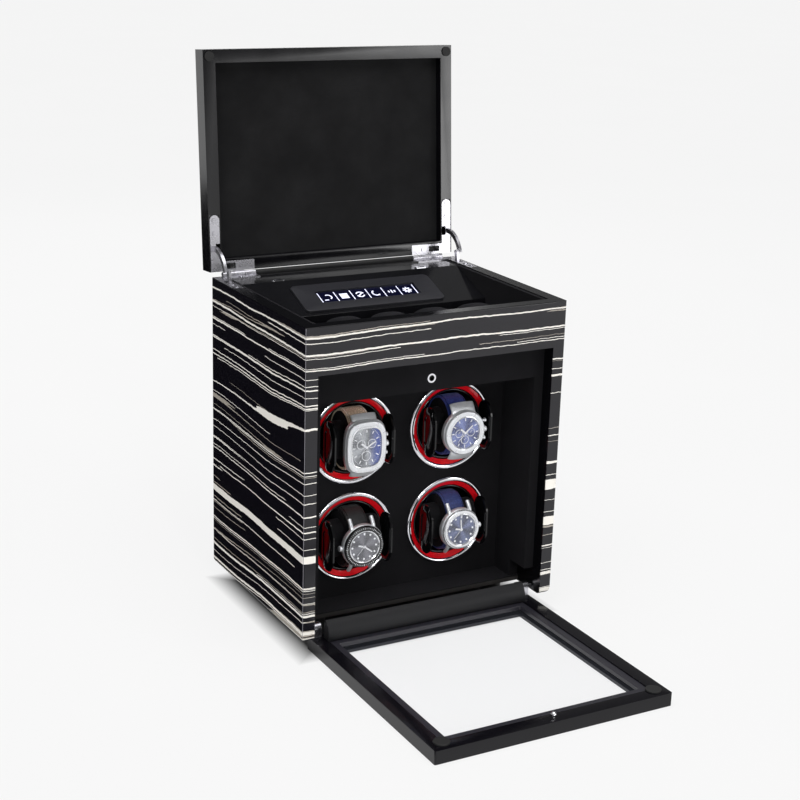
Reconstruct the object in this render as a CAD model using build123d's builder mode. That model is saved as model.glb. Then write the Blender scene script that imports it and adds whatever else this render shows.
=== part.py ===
"""Four-place watch winder box: veneered case, lifting lid, drop-down glass door, belt-driven winders.

Frame: millimetres, +X to the right, +Y to the back, +Z up. The origin is the centre of the underside
of the case. The lid is modelled standing open on its stays and the door lying open on the table.
"""
from build123d import *
import math
import os

os.makedirs("parts", exist_ok=True)

# ---- case ----
case_width = 260
case_depth = 203
case_height = 285
wall = 12  # side panels and header
back_wall = 9.5
base_thick = 5
base_pad = 1  # raised pad in the middle of the base's underside
base_pad_size = (120, 80)
header_height = 43
edge_round = 1.5
corner_round = 5
foot_height = 17
foot_radius = 10
foot_inset = 24
foot_screw_seat = 5  # the screw heads sit this far below the base, inside the feet

# ---- winder cavity ----
side_lining = 9.5
floor_lining = 1
cavity_depth = 66  # case front to the face of the winder panel
cavity_ceiling = 212
ceiling_lining = 2
stop_rail_thick = 5
storage_floor_thick = 6
winder_panel_thick = 5

# ---- door, measured with the door lying open ----
door_thick = 12
door_side_gap = 3
door_length = 229
door_rail = 20
bottom_rail = 23
door_bottom_gap = 2
pivot_height = 2.5
glass_thick = 4
glass_recess = 5
bead_width = 7
bead_step = 1
pivot_pin_radius = 2
pivot_clearance = 0.05
pivot_pin_length = 7
pivot_hole_depth = 8
arm_inner = 104
arm_radius = 5
bumper_thick = 1.5
bumper_radius = 7
stop_gap = 0.3
stud_from_edge = 7.5
stud_height = 5
stud_radius = 2.4
stud_clearance = 0.3
sill_width = 206

# ---- lid ----
lid_thick = 21
lid_gap = 1.5  # lid face to case rim, filled by the rubber bumpers
lid_lean = 4.3  # degrees past upright
lid_rim = 12
lid_recess = 12
lid_lining_thick = 3
lid_bumper_radius = 4.5
lid_round = 4
barrel_radius = 2.6
barrel_gap = 0.4
bead_web = 1.6
bead_tail = 12

# ---- hinges and stays ----
leaf_thick = 1.2
leaf_width = 9.5
lid_leaf_length = 53
case_leaf_length = 50
rear_leaf_length = 33
stay_radius = 25
stay_width = 4.5
stay_thick = 2.8
stay_clearance = 0.6
stay_pocket_wall = 1.8
stay_start = 18  # degrees above the rim where the arm's free end hangs when the lid is open
stay_overlap = 6  # degrees by which the fixed post passes the arm's free end
lane_gap = 0.8
post_thick = 2.6
pin_radius = 1
screw_shank = 1.4
screw_length = 9
screw_head_radius = 2.4
screw_head = 0.7

# ---- sloping display console ----
console_back_y = 68
console_top = 284
console_slope = 20.2  # degrees
console_front_y = 12
console_thick = 4
bezel_width = 145
bezel_length = 42.3
bezel_thick = 2
bezel_from_back = 13
screen_width = 104
screen_length = 18.5
screen_sink = 1.6

# ---- storage space and its cushions ----
storage_lining_thick = 3.5
cushion_count = 5
cushion_gap = 1.5
cushion_length = 88
cushion_height = 47
cushion_round = 14

# ---- winders ----
winder_x = 51
winder_low = 64
winder_high = 159
ring_radius = 43.2
ring_width = 4.2
ring_stand = 3
cup_radius = 34
cup_wall = 2
cup_depth = 34
cup_front_gap = 1.5
ring_gap = 0.5
cheek_thick = 3
cheek_inset = 1.5
cheek_half_height = 23.5
cheek_root = 9
cheek_reach = 26.5
hub_radius = 14
hub_flange = 16
hub_length = 8
flange_thick = 1.4
shaft_radius = 4
shaft_length = 14
running = 0.05
plate_thick = 4
plate_gap = 1
motor_drop = 34
motor_radius = 12
motor_length = 30
pulley_radius = 5
pulley_flange = 7
motor_shaft = 1.5
belt_thick = 1.5
belt_gap = 0.3

# ---- cuffs and watches ----
cuff_depth = 40
cuff_core = 22
cuff_end_gap = 0.2
cuff_end_scale = 0.69
strap_width = 22
strap_thick = 2.4
strap_gap = 0.15
strap_cup_gap = 1.4
watch_thick = 10

# ---- worked out ----
front = -case_depth / 2
back = case_depth / 2
inner_x = case_width / 2 - wall
header_bottom = case_height - header_height
cavity_floor = base_thick + floor_lining
panel_y = front + cavity_depth
panel_back = panel_y + winder_panel_thick
pivot_y = front + foot_height + pivot_height
door_half = inner_x - door_side_gap
door_back = pivot_y + pivot_height - door_bottom_gap
door_front = door_back - door_length
door_bottom = -foot_height
door_top = door_bottom + door_thick
door_swing = pivot_height + foot_height + 1
stop_y = front + max(door_thick + bumper_thick + stop_gap, wall + stop_gap)
base_front = pivot_y + door_swing - 2
stud_y = door_front + stud_from_edge
stud_closed_z = pivot_height + pivot_y - stud_y
lid_axis_y = back + barrel_radius + barrel_gap
lid_axis_z = case_height + lid_gap / 2
slope = math.radians(console_slope)
back_inner = back - back_wall
plate_y = panel_y + cup_depth + hub_length + plate_gap + cup_front_gap
motor_y = plate_y + plate_thick
winders = {
    "upper_left": (-winder_x, winder_high),
    "upper_right": (winder_x, winder_high),
    "lower_left": (-winder_x, winder_low),
    "lower_right": (winder_x, winder_low),
}
storage_floor = cavity_ceiling + ceiling_lining + storage_floor_thick
leaf_x = inner_x + wall / 2
arm_x = leaf_x + 1
post_x = arm_x - stay_thick / 2 - lane_gap - post_thick / 2
stay_reach = stay_radius + stay_width / 2 + stay_clearance
stay_inner = stay_radius - stay_width / 2 - stay_clearance


def save(piece, name):
    piece.label = name
    export_step(piece, f"parts/{name}.step")


def across(y):
    """A plane facing the front at depth y, with its own y axis along +Z."""
    return Plane(origin=(0, y, 0), x_dir=(1, 0, 0), z_dir=(0, -1, 0))


def side_on(x):
    """A plane facing +X at x, with its own axes along +Y and +Z."""
    return Plane(origin=(x, 0, 0), x_dir=(0, 1, 0), z_dir=(1, 0, 0))


# the open lid: own x along +X, own y from the free edge to the hinge, own z out of the lid's top
lean = math.radians(90 + lid_lean)
lid_plane = Plane(
    origin=(0, lid_axis_y, lid_axis_z), x_dir=(1, 0, 0), z_dir=(0, math.sin(lean), math.cos(lean))
)
lid_face = lid_gap / 2  # the lid's underside, above the hinge axis
lid_edge = -(lid_axis_y - back)  # the lid's back edge, in front of the hinge axis
lid_middle = lid_edge - case_depth / 2


def lid_level(height):
    return lid_plane.offset(height)


# hinge screw places on the right-hand hinge: along the side leg, then on the rear leg
case_side_screws = [(leaf_x, back - 44), (leaf_x, back - 34)]
case_rear_screws = [(inner_x - 15, back - leaf_width / 2)]
lid_side_screws = [(leaf_x, lid_edge - 48), (leaf_x, lid_edge - 36)]
lid_rear_screws = [(inner_x - 20, lid_edge - leaf_width / 2)]
both_sides = (-1, 1)


def screw_spots(places):
    return [(side * x, y) for side in both_sides for (x, y) in places]


# ---- case panels ----
def side_panel(side, name):
    left = side * inner_x if side > 0 else side * case_width / 2
    with BuildPart() as panel:
        with BuildSketch(side_on(left)):
            with Locations((0, case_height / 2)):
                Rectangle(case_depth, case_height)
        extrude(amount=wall)
        outer = panel.edges().filter_by(Axis.Z).group_by(Axis.X)[-1 if side > 0 else 0]
        fillet(outer, edge_round)
        low = panel.faces().sort_by(Axis.X)[-1 if side > 0 else 0].edges().sort_by(Axis.Z)[0]
        fillet(low, corner_round)
        # pocket that the hinge stay turns down into
        pocket_front = lid_axis_y - stay_reach
        pocket_back = back - stay_pocket_wall
        with BuildSketch(Plane.XY.offset(case_height)):
            with Locations((side * arm_x, (pocket_front + pocket_back) / 2)):
                Rectangle(stay_thick + 2 * stay_clearance, pocket_back - pocket_front)
        extrude(amount=-stay_reach, mode=Mode.SUBTRACT)
        # mortise for the hinge leaf
        with BuildSketch(Plane.XY.offset(case_height)):
            with Locations((side * leaf_x, back - case_leaf_length / 2)):
                Rectangle(leaf_width, case_leaf_length)
            with Locations((side * (leaf_x - leaf_width / 2), back - leaf_width / 2)):
                Rectangle(leaf_width, leaf_width)
        extrude(amount=-leaf_thick, mode=Mode.SUBTRACT)
        with BuildSketch(Plane.XY.offset(case_height)):
            with Locations(*[(side * x, y) for (x, y) in case_side_screws]):
                Circle(screw_shank)
        extrude(amount=-screw_length - leaf_thick, mode=Mode.SUBTRACT)
        # blind hole for the door's pivot pin
        with BuildSketch(side_on(side * inner_x)):
            with Locations((pivot_y, pivot_height)):
                Circle(pivot_pin_radius + pivot_clearance)
        extrude(amount=side * pivot_hole_depth, mode=Mode.SUBTRACT)
    save(panel.part, name)


side_panel(-1, "left_side_panel")
side_panel(1, "right_side_panel")

with BuildPart() as front_header:
    with BuildSketch(across(front)):
        with Locations((0, header_bottom + header_height / 2)):
            Rectangle(2 * inner_x, header_height)
    extrude(amount=-wall)
    fillet(front_header.edges().filter_by(Axis.X).group_by(Axis.Y)[0], edge_round / 2)
save(front_header.part, "front_header")

foot_spots = [
    (side * (inner_x - foot_inset), y)
    for side in both_sides
    for y in (base_front + foot_inset / 2, back_inner - foot_inset / 2)
]

with BuildPart() as base_board:
    with BuildSketch(Plane.XY.offset(base_pad)):
        with Locations((0, (base_front + back_inner) / 2)):
            Rectangle(2 * inner_x, back_inner - base_front)
        with Locations(*foot_spots):
            Circle(screw_shank, mode=Mode.SUBTRACT)
    extrude(amount=base_thick - base_pad)
    with BuildSketch():
        Rectangle(*base_pad_size)
    extrude(amount=base_pad)
save(base_board.part, "base_board")

with BuildPart() as feet:
    with BuildSketch(Plane.XY.offset(-foot_height)):
        with Locations(*foot_spots):
            Circle(foot_radius)
    extrude(amount=foot_height + base_pad)
    chamfer(feet.edges().group_by(Axis.Z)[0], 1.5)
    with BuildSketch(Plane.XY.offset(-foot_height)):
        with Locations(*foot_spots):
            Circle(screw_head_radius + 2)
    extrude(amount=foot_height - foot_screw_seat, mode=Mode.SUBTRACT)
    with BuildSketch(Plane.XY.offset(-foot_screw_seat)):
        with Locations(*foot_spots):
            Circle(screw_shank)
    extrude(amount=foot_screw_seat + base_pad, mode=Mode.SUBTRACT)
save(feet.part, "feet")

# ---- back panel with its vents and socket hole ----
socket_spot = (-70, 30)
socket_radius = 5.5
socket_collar = 1.5
socket_bore = 2.8
vent_width = 3
vent_length = 40
vent_pitch = 9
with BuildPart() as back_panel:
    with BuildSketch(across(back)):
        with Locations((0, case_height / 2)):
            Rectangle(2 * inner_x, case_height)
        with Locations(socket_spot):
            Circle(socket_radius, mode=Mode.SUBTRACT)
        for level in (winder_low, winder_high):
            with Locations((0, level)):
                with GridLocations(vent_pitch, 1, 9, 1):
                    SlotOverall(vent_length, vent_width, rotation=90, mode=Mode.SUBTRACT)
    extrude(amount=back_wall)
    with BuildSketch(Plane.XY.offset(case_height)):
        for side in both_sides:
            with Locations((side * (inner_x - rear_leaf_length / 2), back - leaf_width / 2)):
                Rectangle(rear_leaf_length, leaf_width)
    extrude(amount=-leaf_thick, mode=Mode.SUBTRACT)
    with BuildSketch(Plane.XY.offset(case_height)):
        with Locations(*screw_spots(case_rear_screws)):
            Circle(screw_shank)
    extrude(amount=-screw_length - leaf_thick, mode=Mode.SUBTRACT)
save(back_panel.part, "back_panel")

with BuildPart() as power_socket:
    with BuildSketch(across(back)):
        with Locations(socket_spot):
            Circle(socket_radius + socket_collar)
    extrude(amount=-socket_collar)
    with BuildSketch(across(back)):
        with Locations(socket_spot):
            Circle(socket_radius)
    extrude(amount=back_wall + 4)
    with BuildSketch(across(back + socket_collar)):
        with Locations(socket_spot):
            Circle(socket_bore)
    extrude(amount=10, mode=Mode.SUBTRACT)
save(power_socket.part, "power_socket")

# ---- cavity lining, winder panel and storage floor ----
lining_x = inner_x - side_lining
notch_back = pivot_y + door_swing
notch_top = pivot_height + door_swing
with BuildPart() as cavity_lining:
    for side in both_sides:
        with BuildSketch(side_on(side * lining_x if side > 0 else -inner_x)):
            with BuildLine():
                Polyline(
                    (stop_y, notch_top),
                    (notch_back, notch_top),
                    (notch_back, cavity_floor),
                    (panel_y, cavity_floor),
                    (panel_y, cavity_ceiling),
                    (stop_y, cavity_ceiling),
                    close=True,
                )
            make_face()
        extrude(amount=side_lining)
    with BuildSketch(Plane.XY.offset(base_thick)):
        with Locations((0, (base_front + panel_y) / 2)):
            Rectangle(2 * inner_x, panel_y - base_front)
    extrude(amount=floor_lining)
    with BuildSketch(Plane.XY.offset(cavity_ceiling)):
        with Locations((0, (stop_y + stop_rail_thick + panel_y) / 2)):
            Rectangle(2 * inner_x, panel_y - stop_y - stop_rail_thick)
    extrude(amount=ceiling_lining)
save(cavity_lining.part, "cavity_lining")

with BuildPart() as storage_floor_board:
    with BuildSketch(Plane.XY.offset(storage_floor - storage_floor_thick)):
        with Locations((0, (stop_y + stop_rail_thick + back_inner) / 2)):
            Rectangle(2 * inner_x, back_inner - stop_y - stop_rail_thick)
    extrude(amount=storage_floor_thick)
save(storage_floor_board.part, "storage_floor")

stop_rail_top = header_bottom + 8
socket_tube = 4.2
with BuildPart() as door_stop_rail:
    with BuildSketch(across(stop_y)):
        with Locations((0, (cavity_ceiling + stop_rail_top) / 2)):
            Rectangle(2 * inner_x, stop_rail_top - cavity_ceiling)
        with Locations((0, stud_closed_z)):
            Circle(socket_tube, mode=Mode.SUBTRACT)
    extrude(amount=-stop_rail_thick)
save(door_stop_rail.part, "door_stop_rail")

with BuildPart() as catch_socket:
    with BuildSketch(across(stop_y)):
        with Locations((0, stud_closed_z)):
            Circle(socket_tube)
            Circle(stud_radius + stud_clearance, mode=Mode.SUBTRACT)
    extrude(amount=-stop_rail_thick)
save(catch_socket.part, "catch_socket")

with BuildPart() as winder_panel:
    with BuildSketch(across(panel_y)):
        with Locations((0, (base_thick + cavity_ceiling + ceiling_lining) / 2)):
            Rectangle(2 * inner_x, cavity_ceiling + ceiling_lining - base_thick)
        with Locations(*winders.values()):
            Circle(ring_radius - ring_width + 1, mode=Mode.SUBTRACT)
    extrude(amount=-winder_panel_thick)
save(winder_panel.part, "winder_panel")

storage_x = inner_x - storage_lining_thick
lining_top = case_height - 1
header_back = front + wall
rail_back = stop_y + stop_rail_thick
with BuildPart() as storage_lining:
    for side in both_sides:
        with BuildSketch(side_on(storage_x if side > 0 else -inner_x)):
            with BuildLine():
                Polyline(
                    (rail_back, storage_floor),
                    (back_inner, storage_floor),
                    (back_inner, lining_top),
                    (header_back, lining_top),
                    (header_back, stop_rail_top),
                    (rail_back, stop_rail_top),
                    close=True,
                )
            make_face()
        extrude(amount=storage_lining_thick)
    with BuildSketch(Plane.XY.offset(stop_rail_top)):
        with Locations((0, header_back + storage_lining_thick / 2)):
            Rectangle(2 * storage_x, storage_lining_thick)
    extrude(amount=lining_top - stop_rail_top)
save(storage_lining.part, "storage_lining")

# ---- sloping console with display, at the back of the storage space ----
console_plane = Plane(
    origin=(0, console_back_y, console_top),
    x_dir=(1, 0, 0),
    z_dir=(0, -math.sin(slope), math.cos(slope)),
)
console_drop = (console_back_y - console_front_y) * math.tan(slope)
with BuildPart() as console:
    with BuildSketch(side_on(-storage_x)):
        with BuildLine():
            Polyline(
                (back_inner, console_top),
                (console_back_y, console_top),
                (console_front_y, console_top - console_drop),
                (console_front_y, storage_floor),
                (console_front_y + console_thick, storage_floor),
                (console_front_y + console_thick, console_top - console_drop - console_thick / 2),
                (console_back_y, console_top - console_thick),
                (back_inner, console_top - console_thick),
                close=True,
            )
        make_face()
    extrude(amount=2 * storage_x)
    with BuildSketch(console_plane):
        with Locations((0, -bezel_from_back - bezel_length / 2)):
            Rectangle(screen_width + 4, screen_length + 4)
    extrude(amount=-3 * console_thick, mode=Mode.SUBTRACT)
save(console.part, "console_panel")

with BuildPart() as display_bezel:
    with BuildSketch(console_plane):
        with Locations((0, -bezel_from_back - bezel_length / 2)):
            RectangleRounded(bezel_width, bezel_length, 5)
            Rectangle(screen_width, screen_length, mode=Mode.SUBTRACT)
    extrude(amount=bezel_thick)
save(display_bezel.part, "display_bezel")

with BuildPart() as touch_screen:
    with BuildSketch(console_plane.offset(bezel_thick - screen_sink)):
        with Locations((0, -bezel_from_back - bezel_length / 2)):
            Rectangle(screen_width, screen_length)
    extrude(amount=-console_thick)
save(touch_screen.part, "touch_screen")

board_width = 120
board_length = 40
with BuildPart() as control_board:
    with BuildSketch(console_plane.offset(bezel_thick - screen_sink - console_thick)):
        with Locations((0, -bezel_from_back - bezel_length / 2)):
            Rectangle(screen_width - 8, screen_length - 4)
    extrude(amount=-3)
    with BuildSketch(console_plane.offset(bezel_thick - screen_sink - console_thick - 3)):
        with Locations((0, -bezel_from_back - bezel_length / 2)):
            Rectangle(board_width, board_length)
    extrude(amount=-1.6)
save(control_board.part, "control_board")

clip_width = 12
clip_rise = 3
with BuildPart() as console_clips:
    for side in both_sides:
        with BuildSketch(Plane.XY.offset(console_top)):
            with Locations((side * 76, console_back_y + 4)):
                RectangleRounded(clip_width, 4, 1)
        extrude(amount=0.8)
        with BuildSketch(Plane.XY.offset(console_top + 0.8)):
            with Locations((side * 76, console_back_y + 3)):
                RectangleRounded(clip_width - 6, 2, 0.6)
        extrude(amount=clip_rise - 2.4)
save(console_clips.part, "console_clips")

# ---- case hinges: leaf in the rim, knuckles and pin behind it, and the fixed post beside the stay ----
knuckle = rear_leaf_length / 3
knuckle_gap = 0.2


def ring_sector(plane, from_degrees, to_degrees, amount):
    """A piece of the stay's ring about the hinge axis, angles up from the front, extruded both ways."""
    inner = stay_radius - stay_width / 2
    outer = stay_radius + stay_width / 2
    middle = (from_degrees + to_degrees) / 2

    def spot(radius, degrees):
        turn = math.radians(degrees)
        return (lid_axis_y - radius * math.cos(turn), lid_axis_z + radius * math.sin(turn))

    with BuildSketch(plane) as sector:
        with BuildLine():
            ThreePointArc(*[spot(inner, a) for a in (from_degrees, middle, to_degrees)])
            Line(spot(inner, to_degrees), spot(outer, to_degrees))
            ThreePointArc(*[spot(outer, a) for a in (to_degrees, middle, from_degrees)])
            Line(spot(outer, from_degrees), spot(inner, from_degrees))
        make_face()
    extrude(sector.sketch, amount=amount, both=True)


def knuckle_bars(side, spans, radius):
    """Round bars along the hinge axis; spans are distances inward from the case's inner wall face."""
    for start, end in spans:
        near = side * (inner_x - start)
        far = side * (inner_x - end)
        with BuildSketch(side_on(min(near, far))) as section:
            with Locations((lid_axis_y, lid_axis_z)):
                Circle(radius)
        extrude(section.sketch, amount=abs(near - far))


case_knuckles = [(0, knuckle - knuckle_gap), (2 * knuckle + knuckle_gap, rear_leaf_length)]
lid_knuckles = [(knuckle, 2 * knuckle)]

with BuildPart() as case_hinge_leaves:
    for side in both_sides:
        with BuildSketch(Plane.XY.offset(case_height - leaf_thick)):
            with Locations((side * leaf_x, back - case_leaf_length / 2)):
                Rectangle(leaf_width, case_leaf_length)
            with Locations((side * (inner_x - rear_leaf_length / 2), back - leaf_width / 2)):
                Rectangle(rear_leaf_length, leaf_width)
            with Locations((side * (leaf_x - leaf_width / 2), back - leaf_width / 2)):
                Rectangle(leaf_width, leaf_width)
            for start, end in case_knuckles:
                with Locations((side * (inner_x - (start + end) / 2), (back + lid_axis_y) / 2)):
                    Rectangle(end - start, lid_axis_y - back)
            with Locations((side * arm_x, lid_axis_y - (stay_reach + stay_inner) / 2)):
                Rectangle(stay_thick + 2 * stay_clearance, stay_reach - stay_inner, mode=Mode.SUBTRACT)
            with Locations(*[(side * x, y) for (x, y) in case_side_screws + case_rear_screws]):
                Circle(screw_shank, mode=Mode.SUBTRACT)
        extrude(amount=leaf_thick)
        knuckle_bars(side, case_knuckles, barrel_radius)
        knuckle_bars(side, [(1, rear_leaf_length - 1)], pin_radius)
        ring_sector(side_on(side * post_x), -3, stay_start + stay_overlap, post_thick / 2)
save(case_hinge_leaves.part, "case_hinge_leaves")


def hinge_screws(spots, level, way):
    """A low head on the leaf and a shank into the wood; way is 1 where the heads stand along the level."""
    with BuildSketch(level) as heads:
        with Locations(*spots):
            Circle(screw_head_radius)
    extrude(heads.sketch, amount=way * screw_head)
    with BuildSketch(level) as shanks:
        with Locations(*spots):
            Circle(screw_shank)
    extrude(shanks.sketch, amount=-way * (screw_length + leaf_thick))


with BuildPart() as case_screws:
    hinge_screws(screw_spots(case_side_screws + case_rear_screws), Plane.XY.offset(case_height), 1)
    with BuildSketch(Plane.XY.offset(-foot_screw_seat)):
        with Locations(*foot_spots):
            Circle(screw_shank)
    extrude(amount=foot_screw_seat + base_thick)
    with BuildSketch(Plane.XY.offset(-foot_screw_seat)):
        with Locations(*foot_spots):
            Circle(screw_head_radius + 1)
    extrude(amount=-2)
save(case_screws.part, "case_screws")

# ---- soft bead that closes the gap behind the rim between the hinges ----
with BuildPart() as dust_bead:
    with BuildSketch(side_on(0)):
        with Locations((lid_axis_y, lid_axis_z)):
            Circle(barrel_radius)
        with Locations(((back + lid_axis_y) / 2, case_height - bead_web / 2)):
            Rectangle(lid_axis_y - back, bead_web)
        with Locations((back + 0.4, case_height - bead_tail / 2)):
            Rectangle(0.8, bead_tail)
    extrude(amount=inner_x - rear_leaf_length - 1, both=True)
save(dust_bead.part, "dust_bead")

# ---- lid ----
post_pocket_reach = stay_reach + 1.5
post_pocket_inner = stay_inner - 1.5
post_pocket_middle = -(post_pocket_reach + post_pocket_inner) / 2
post_pocket_length = post_pocket_reach - post_pocket_inner
post_rise = stay_reach * math.sin(math.radians(stay_start + stay_overlap))
with BuildPart() as lid_shell:
    with BuildSketch(lid_level(lid_face)):
        with Locations((0, lid_middle)):
            Rectangle(case_width, case_depth)
    extrude(amount=lid_thick)
    fillet(lid_shell.faces().sort_by(Axis.Y)[-1].edges(), lid_round)
    with BuildSketch(lid_level(lid_face)):
        with Locations((0, lid_middle)):
            Rectangle(case_width - 2 * lid_rim, case_depth - 2 * lid_rim)
    extrude(amount=lid_recess, mode=Mode.SUBTRACT)
    with BuildSketch(lid_level(lid_face)):
        for side in both_sides:
            with Locations((side * leaf_x, lid_edge - lid_leaf_length / 2)):
                Rectangle(leaf_width, lid_leaf_length)
            with Locations((side * (inner_x - rear_leaf_length / 2), lid_edge - leaf_width / 2)):
                Rectangle(rear_leaf_length, leaf_width)
            with Locations((side * (leaf_x - leaf_width / 2), lid_edge - leaf_width / 2)):
                Rectangle(leaf_width, leaf_width)
    extrude(amount=leaf_thick, mode=Mode.SUBTRACT)
    with BuildSketch(lid_level(lid_face)):
        for side in both_sides:
            with Locations((side * post_x, post_pocket_middle)):
                Rectangle(post_thick + 2 * stay_clearance, post_pocket_length)
    extrude(amount=post_rise + 1, mode=Mode.SUBTRACT)
    with BuildSketch(lid_level(lid_face)):
        with Locations(*screw_spots(lid_side_screws + lid_rear_screws)):
            Circle(screw_shank)
    extrude(amount=screw_length + leaf_thick, mode=Mode.SUBTRACT)
save(lid_shell.part, "lid_shell")

with BuildPart() as lid_lining:
    with BuildSketch(lid_level(lid_face + lid_recess)):
        with Locations((0, lid_middle)):
            Rectangle(case_width - 2 * lid_rim, case_depth - 2 * lid_rim)
    extrude(amount=-lid_lining_thick)
save(lid_lining.part, "lid_lining")

with BuildPart() as lid_hinge_leaves:
    for side in both_sides:
        with BuildSketch(lid_level(lid_face)):
            with Locations((side * leaf_x, lid_edge - (lid_leaf_length - leaf_width / 2) / 2)):
                Rectangle(leaf_width, lid_leaf_length - leaf_width / 2)
            with Locations((side * leaf_x, lid_edge - lid_leaf_length + leaf_width / 2)):
                Circle(leaf_width / 2)
            with Locations((side * (inner_x - rear_leaf_length / 2), lid_edge - leaf_width / 2)):
                Rectangle(rear_leaf_length, leaf_width)
            with Locations((side * (leaf_x - leaf_width / 2), lid_edge - leaf_width / 2)):
                Rectangle(leaf_width, leaf_width)
            for start, end in lid_knuckles:
                with Locations((side * (inner_x - (start + end) / 2), lid_edge / 2)):
                    Rectangle(end - start, -lid_edge)
            with Locations((side * (inner_x - 8), lid_edge - leaf_width / 2)):
                RectangleRounded(12, leaf_width - 4, 0.8, mode=Mode.SUBTRACT)
            with Locations((side * (post_x - leaf_width / 4), post_pocket_middle)):
                Rectangle(
                    post_thick + 2 * stay_clearance + leaf_width / 2, post_pocket_length,
                    mode=Mode.SUBTRACT,
                )
            with Locations(*[(side * x, y) for (x, y) in lid_side_screws + lid_rear_screws]):
                Circle(screw_shank, mode=Mode.SUBTRACT)
        extrude(amount=leaf_thick)
        knuckle_bars(side, lid_knuckles, barrel_radius)
        with BuildSketch(side_on(side * (inner_x - rear_leaf_length / 2))):
            with Locations((lid_axis_y, lid_axis_z)):
                Circle(pin_radius + running)
        extrude(amount=rear_leaf_length, both=True, mode=Mode.SUBTRACT)
save(lid_hinge_leaves.part, "lid_hinge_leaves")

root_angle = 90 + lid_lean + math.degrees(math.asin(lid_face / stay_radius))
with BuildPart() as stay_arms:
    for side in both_sides:
        ring_sector(side_on(side * arm_x), stay_start, root_angle, stay_thick / 2)
    split(bisect_by=lid_level(lid_face), keep=Keep.BOTTOM)
save(stay_arms.part, "stay_arms")

with BuildPart() as lid_hinge_screws:
    hinge_screws(screw_spots(lid_side_screws + lid_rear_screws), lid_level(lid_face), -1)
save(lid_hinge_screws.part, "lid_hinge_screws")

with BuildPart() as lid_bumpers:
    with BuildSketch(lid_level(lid_face)):
        for side in both_sides:
            with Locations((side * leaf_x, lid_edge - case_depth + lid_rim / 2)):
                Circle(lid_bumper_radius)
    extrude(amount=-(lid_gap - 0.2))
save(lid_bumpers.part, "lid_bumpers")

# ---- door ----
door_middle = (door_front + door_back) / 2
glass_front = door_front + door_rail
glass_back = door_back - bottom_rail
glass_half = door_half - door_rail
glass_spot = (0, (glass_front + glass_back) / 2)
glass_top = door_top - glass_recess
with BuildPart() as door_frame:
    with BuildSketch(Plane.XY.offset(door_bottom)):
        with Locations((0, door_middle)):
            Rectangle(2 * door_half, door_length)
        with Locations(glass_spot):
            Rectangle(2 * glass_half, glass_back - glass_front, mode=Mode.SUBTRACT)
    extrude(amount=door_thick)
    fillet(door_frame.edges().filter_by(Axis.Z).group_by(Axis.Y)[0], 1.5)
    # rebate for the pane and its bead
    with BuildSketch(Plane.XY.offset(glass_top - glass_thick)):
        with Locations(glass_spot):
            Rectangle(2 * (glass_half + bead_width), glass_back - glass_front + 2 * bead_width)
    extrude(amount=door_thick, mode=Mode.SUBTRACT)
save(door_frame.part, "door_frame")

with BuildPart() as door_glass:
    with BuildSketch(Plane.XY.offset(glass_top - glass_thick)):
        with Locations(glass_spot):
            Rectangle(2 * (glass_half + bead_width) - 1, glass_back - glass_front + 2 * bead_width - 1)
    extrude(amount=glass_thick)
save(door_glass.part, "door_glass")

with BuildPart() as glazing_bead:
    with BuildSketch(Plane.XY.offset(glass_top)):
        with Locations(glass_spot):
            Rectangle(2 * (glass_half + bead_width), glass_back - glass_front + 2 * bead_width)
            Rectangle(2 * glass_half, glass_back - glass_front, mode=Mode.SUBTRACT)
    extrude(amount=glass_recess - bead_step)
save(glazing_bead.part, "glazing_bead")

sill_reach = 17
with BuildPart() as door_sill:
    with BuildSketch(side_on(-sill_width / 2)):
        with BuildLine():
            sill_start = (pivot_y - sill_reach, door_top)
            sill_bend = (pivot_y - 15.6, pivot_height + 5.5)
            sill_end = (pivot_y - 10.5, pivot_height + 10.5)
            ThreePointArc(sill_start, sill_bend, sill_end)
            Polyline(sill_end, (pivot_y - 8.5, pivot_height + 9.5), (pivot_y - 7, door_top), sill_start)
        make_face()
    extrude(amount=sill_width)
save(door_sill.part, "door_sill")

with BuildPart() as pivot_arms:
    for side in both_sides:
        with BuildSketch(side_on(side * (arm_inner + door_half) / 2)):
            with BuildLine():
                Polyline(
                    (pivot_y - arm_radius, pivot_height),
                    (pivot_y - arm_radius, door_top),
                    (pivot_y, door_top),
                    (pivot_y + arm_radius, pivot_height),
                    close=True,
                )
            make_face()
            with Locations((pivot_y, pivot_height)):
                Circle(arm_radius)
        extrude(amount=(door_half - arm_inner) / 2, both=True)
        with BuildSketch(side_on(side * door_half)):
            with Locations((pivot_y, pivot_height)):
                Circle(pivot_pin_radius)
        extrude(amount=side * (door_side_gap + pivot_pin_length))
save(pivot_arms.part, "pivot_arms")

with BuildPart() as catch_stud:
    with BuildSketch(Plane.XY.offset(door_top)):
        with Locations((0, stud_y)):
            Circle(stud_radius - 0.8)
    extrude(amount=stud_height - stud_radius)
    with Locations((0, stud_y, door_top + stud_height - stud_radius)):
        Sphere(stud_radius)
save(catch_stud.part, "catch_stud")

with BuildPart() as door_bumpers:
    with BuildSketch(Plane.XY.offset(door_top)):
        for side in both_sides:
            with Locations((side * (door_half - 12), door_front + 11)):
                Circle(bumper_radius)
    extrude(amount=bumper_thick)
    fillet(door_bumpers.edges().group_by(Axis.Z)[-1], 0.6)
save(door_bumpers.part, "door_bumpers")

# ---- winders ----
ring_inner = ring_radius - ring_width
accent_inner = cup_radius + ring_gap
cup_front = panel_y + cup_front_gap
cup_back = cup_front + cup_depth
hub_back = cup_back + hub_length
cuff_y = panel_y + 1.5
cup_bore = cup_radius - cup_wall
cheek_outer = cup_bore - cheek_inset
head_room = cheek_outer - cheek_thick
cuff_end = 2 * (head_room - cuff_end_gap)
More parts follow.
